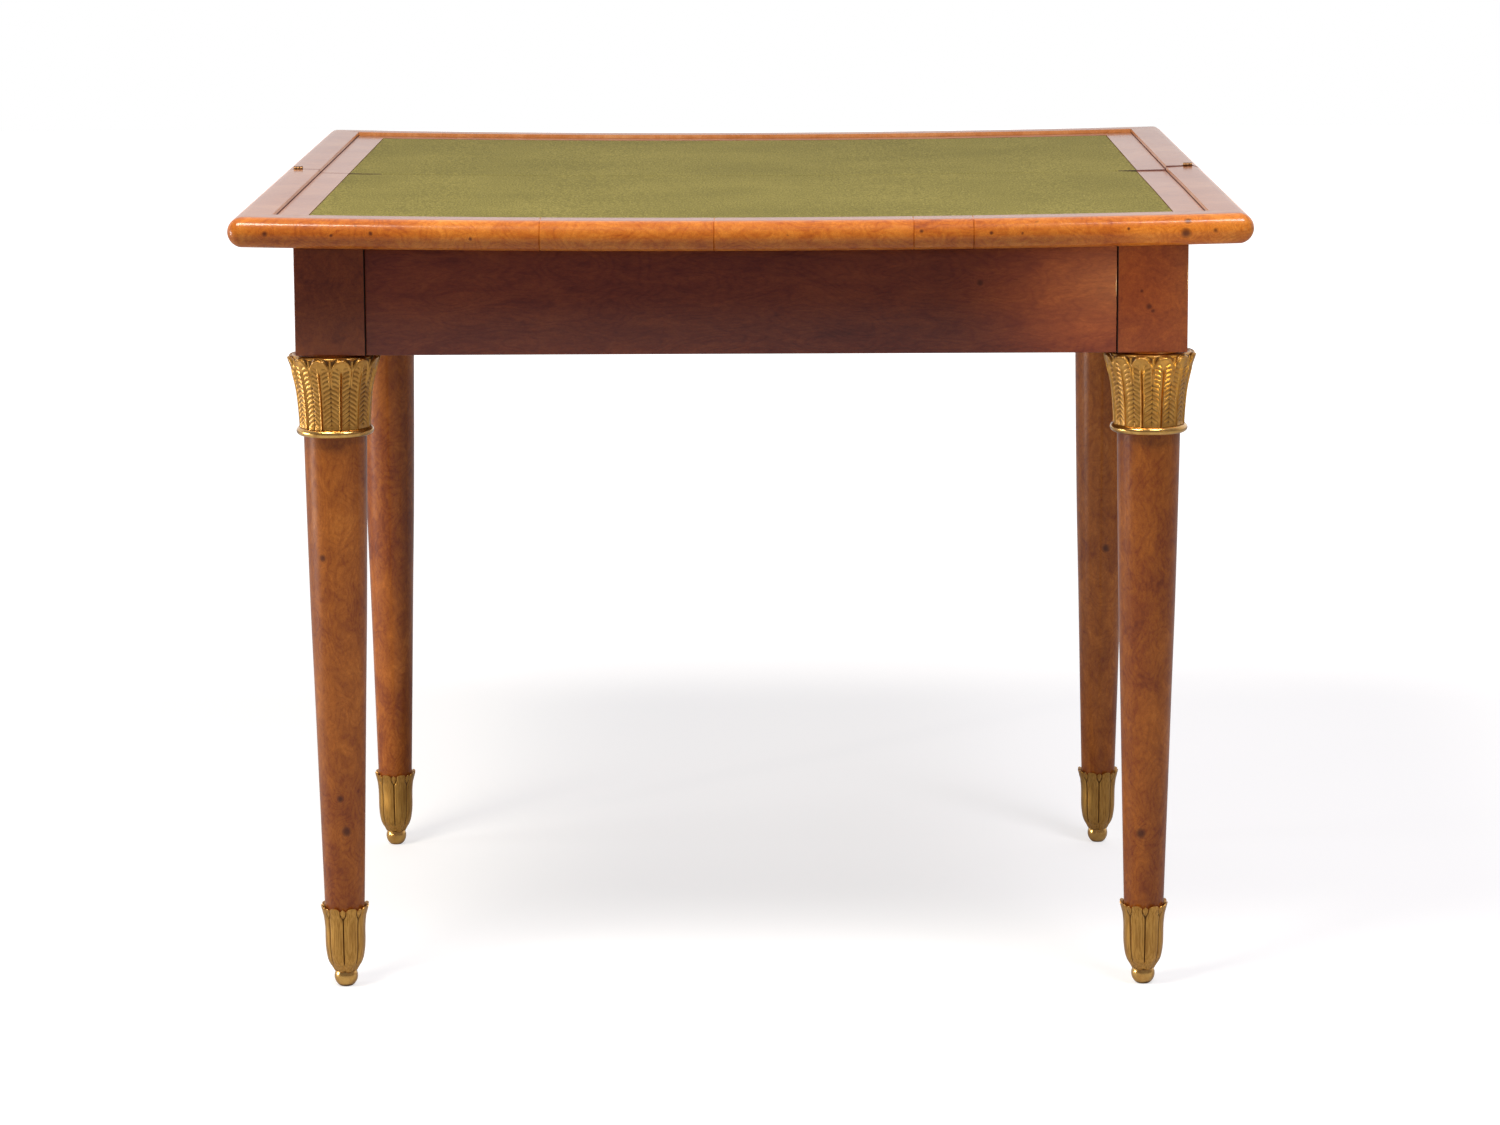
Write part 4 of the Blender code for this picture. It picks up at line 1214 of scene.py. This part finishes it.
def sabot_mesh(name, girth):
    """The shoe for a leg of this girth, about its own axis."""
    def bell(height):
        return girth * sabot_tip_radius * smooth_curve(sabot_shares, height / sabot_top)

    inner = [(leg_radius(sabot_shoulder, girth) + fit, sabot_shoulder)]
    for height in (sabot_shoulder - 0.0001, 0.050, 0.036, leg_foot - fit):
        inner.append((leg_radius(height, girth) - sabot_wall + fit, height))
    # A floor plate with a hole for the ball's shank closes the shoe under the wood
    plate_low = sabot_foot + 0.0003
    plate_rise = sabot_foot + 0.0022
    inner += [(girth * 0.0092, plate_rise), (girth * 0.0088, sabot_foot + 0.0004)]
    *cup, hollows = carved_cup(
        sabot_leaves, sabot_columns, sabot_rows,
        lambda across: sabot_foot + 0.0012 * (1.0 - sqrt(max(1.0 - across ** 2, 0.0))),
        sabot_edge, sabot_relief, bell, inner, tip_wall=0.0011, tip_depth=0.006)
    hole = shank_radius + fit
    plate = turned([
        (hole, plate_low), (girth * 0.0092, plate_low), (girth * 0.0096, plate_rise),
        (leg_radius(0.024, girth) - sabot_wall, plate_top), (hole, plate_top)], 48, loop=True)
    return clean_mesh(name, *merged(cup, plate), hollows + [0.3] * len(plate[0]))


def ball_mesh(name, girth):
    """The ball foot, with the shank that screws into the sabot."""
    radius = 0.0112
    middle = 0.0093
    top = sabot_foot - fit
    profile = [(shank_radius, plate_top - 0.0001), (shank_radius, top)]
    for x, z in arc((0.0, middle), (girth * radius, radius), asin((top - middle) / radius),
                    -asin(middle / radius), 28):
        profile.append((x, max(z, 0.0)))
    points, faces = turned(profile, 56)
    return clean_mesh(name, points, faces, [0.1] * len(points))


for end, girth in girths:
    for side, word in sides:
        stand(f"sabot_{end}_{word}", end, word, sabot_mesh("sabot", girth), gilt_brushed)
        stand(f"foot_ball_{end}_{word}", end, word, ball_mesh("ball", girth), gilt_polished)
print("sabots carved for", len(leg_places), "legs")

# %% [markdown]
# ## The studio
#
# The table stands on plain pale paper in a white studio. Two square soft boxes hang over its
# front, a low one reaches the legs on the left, and two small lamps light the right-hand
# corner of the frame and the rear leg on the left, as in the photograph. The room in front is
# dim, so the apron under the overhang stays in shade while the top shines. The world's tone
# depends only on direction, and the camera sees it as plain white paper.

# %% Floor and lights
# The paper looks overexposed, as on a lit table, but throws back only the light of grey paper
paper_lift = 0.60
# The paper reaches 9 m to every side
reach = 9
corners = [[(-reach, y, 0), (reach, y, 0)] for y in (-reach, reach)]
points, faces = skin(corners, around=False, ends="open")
floor_mesh = bpy.data.meshes.new("studio_floor")
floor_mesh.from_pydata(points, [], faces)
floor = new_object("studio_floor", floor_mesh)
paper, add_paper, paper_shader = start_finish(
    "studio_paper", Roughness=0.85, IOR=1.45, Base_Color=linear("#b0b0b0"),
    Emission_Color=linear("#ffffff"))
away = add_paper("VectorMath", add_paper("TexCoord", out="Object"), operation="LENGTH", out="Value")
far = add_paper("MapRange", Value=away, From_Min=1.2, From_Max=4.0, To_Min=paper_lift, To_Max=1.0)
seen = add_paper("LightPath", out="Is Camera Ray")
join(paper_shader, Emission_Strength=add_paper("Math", seen, far, operation="MULTIPLY"))
floor_mesh.materials.append(paper)


def lamp(name, kind, place, aim, power, colour="#ffffff", **settings):
    """A light of a kind at a place, aimed at a point."""
    data = bpy.data.lights.new(name, kind)
    data.energy = power
    data.color = linear(colour)[:3]
    for setting, value in settings.items():
        setattr(data, setting, value)
    light = new_object(name, data)
    light.location = place
    light.rotation_euler = (Vector(aim) - Vector(place)).to_track_quat("-Z", "Y").to_euler()


for x, name, power, colour in (
        (-1.07, "left_box", 78.0, "#fff9ea"), (1.07, "right_box", 50.0, "#f8f6ff")):
    lamp(name, "AREA", (x, -1.38, 3.15), (0.0, -0.2, 0.6), power, colour,
         shape="RECTANGLE", size=0.9, size_y=0.9)
lamp("low_left_box", "AREA", (-3.0, -0.38, 0.5), (-0.3, 0.1, 0.3), 33.0,
     shape="RECTANGLE", size=1.0, size_y=0.7)
# Two small lamps with snoots: one reaches under the overhang at the right-hand corner, the
# other picks out the rear leg on the left
snoot = {"spot_blend": 1.0, "shadow_soft_size": 0.04}
lamp("corner_lamp", "SPOT", (2.2, -2.6, 0.60), (0.352, -0.41, 0.657), 345.0, "#ffeba6",
     spot_size=radians(4.2), **snoot)
lamp("rear_leg_lamp", "SPOT", (-2.6, -1.8, 0.5), (-0.378, 0.16, 0.28), 130.0, "#fff4e6",
     spot_size=radians(14.0), **snoot)

world = bpy.data.worlds.new("white_studio")
bpy.context.scene.world = world
world.use_nodes = True
add_sky = functools.partial(add_node, world.node_tree)
across = add_sky("SeparateXYZ", Vector=add_sky("TexCoord", out="Generated"), out="X")
behind = add_sky("MapRange", Value=across.node.outputs["Y"], From_Min=-0.3, From_Max=0.85,
                 To_Min=0.22, To_Max=0.95, interpolation_type="SMOOTHSTEP")
room = add_sky("Math", across, 0.02, behind, operation="MULTIPLY_ADD")
seen = add_sky("LightPath", out="Is Camera Ray")
# The room in front is dim and a little mauve, so shaded polish looks plum
clear = add_sky("Math", behind, seen, operation="MAXIMUM")
join(world.node_tree.nodes["Background"], Strength=add_sky("Mix", at={0: seen, 2: room, 3: 1.0}),
     Color=add_sky("Mix", at={0: clear, 6: (1.0, 0.86, 0.97, 1.0), 7: (1.0, 1.0, 1.0, 1.0)},
                   data_type="RGBA", out=2))
bpy.context.scene.view_settings.view_transform = "Standard"
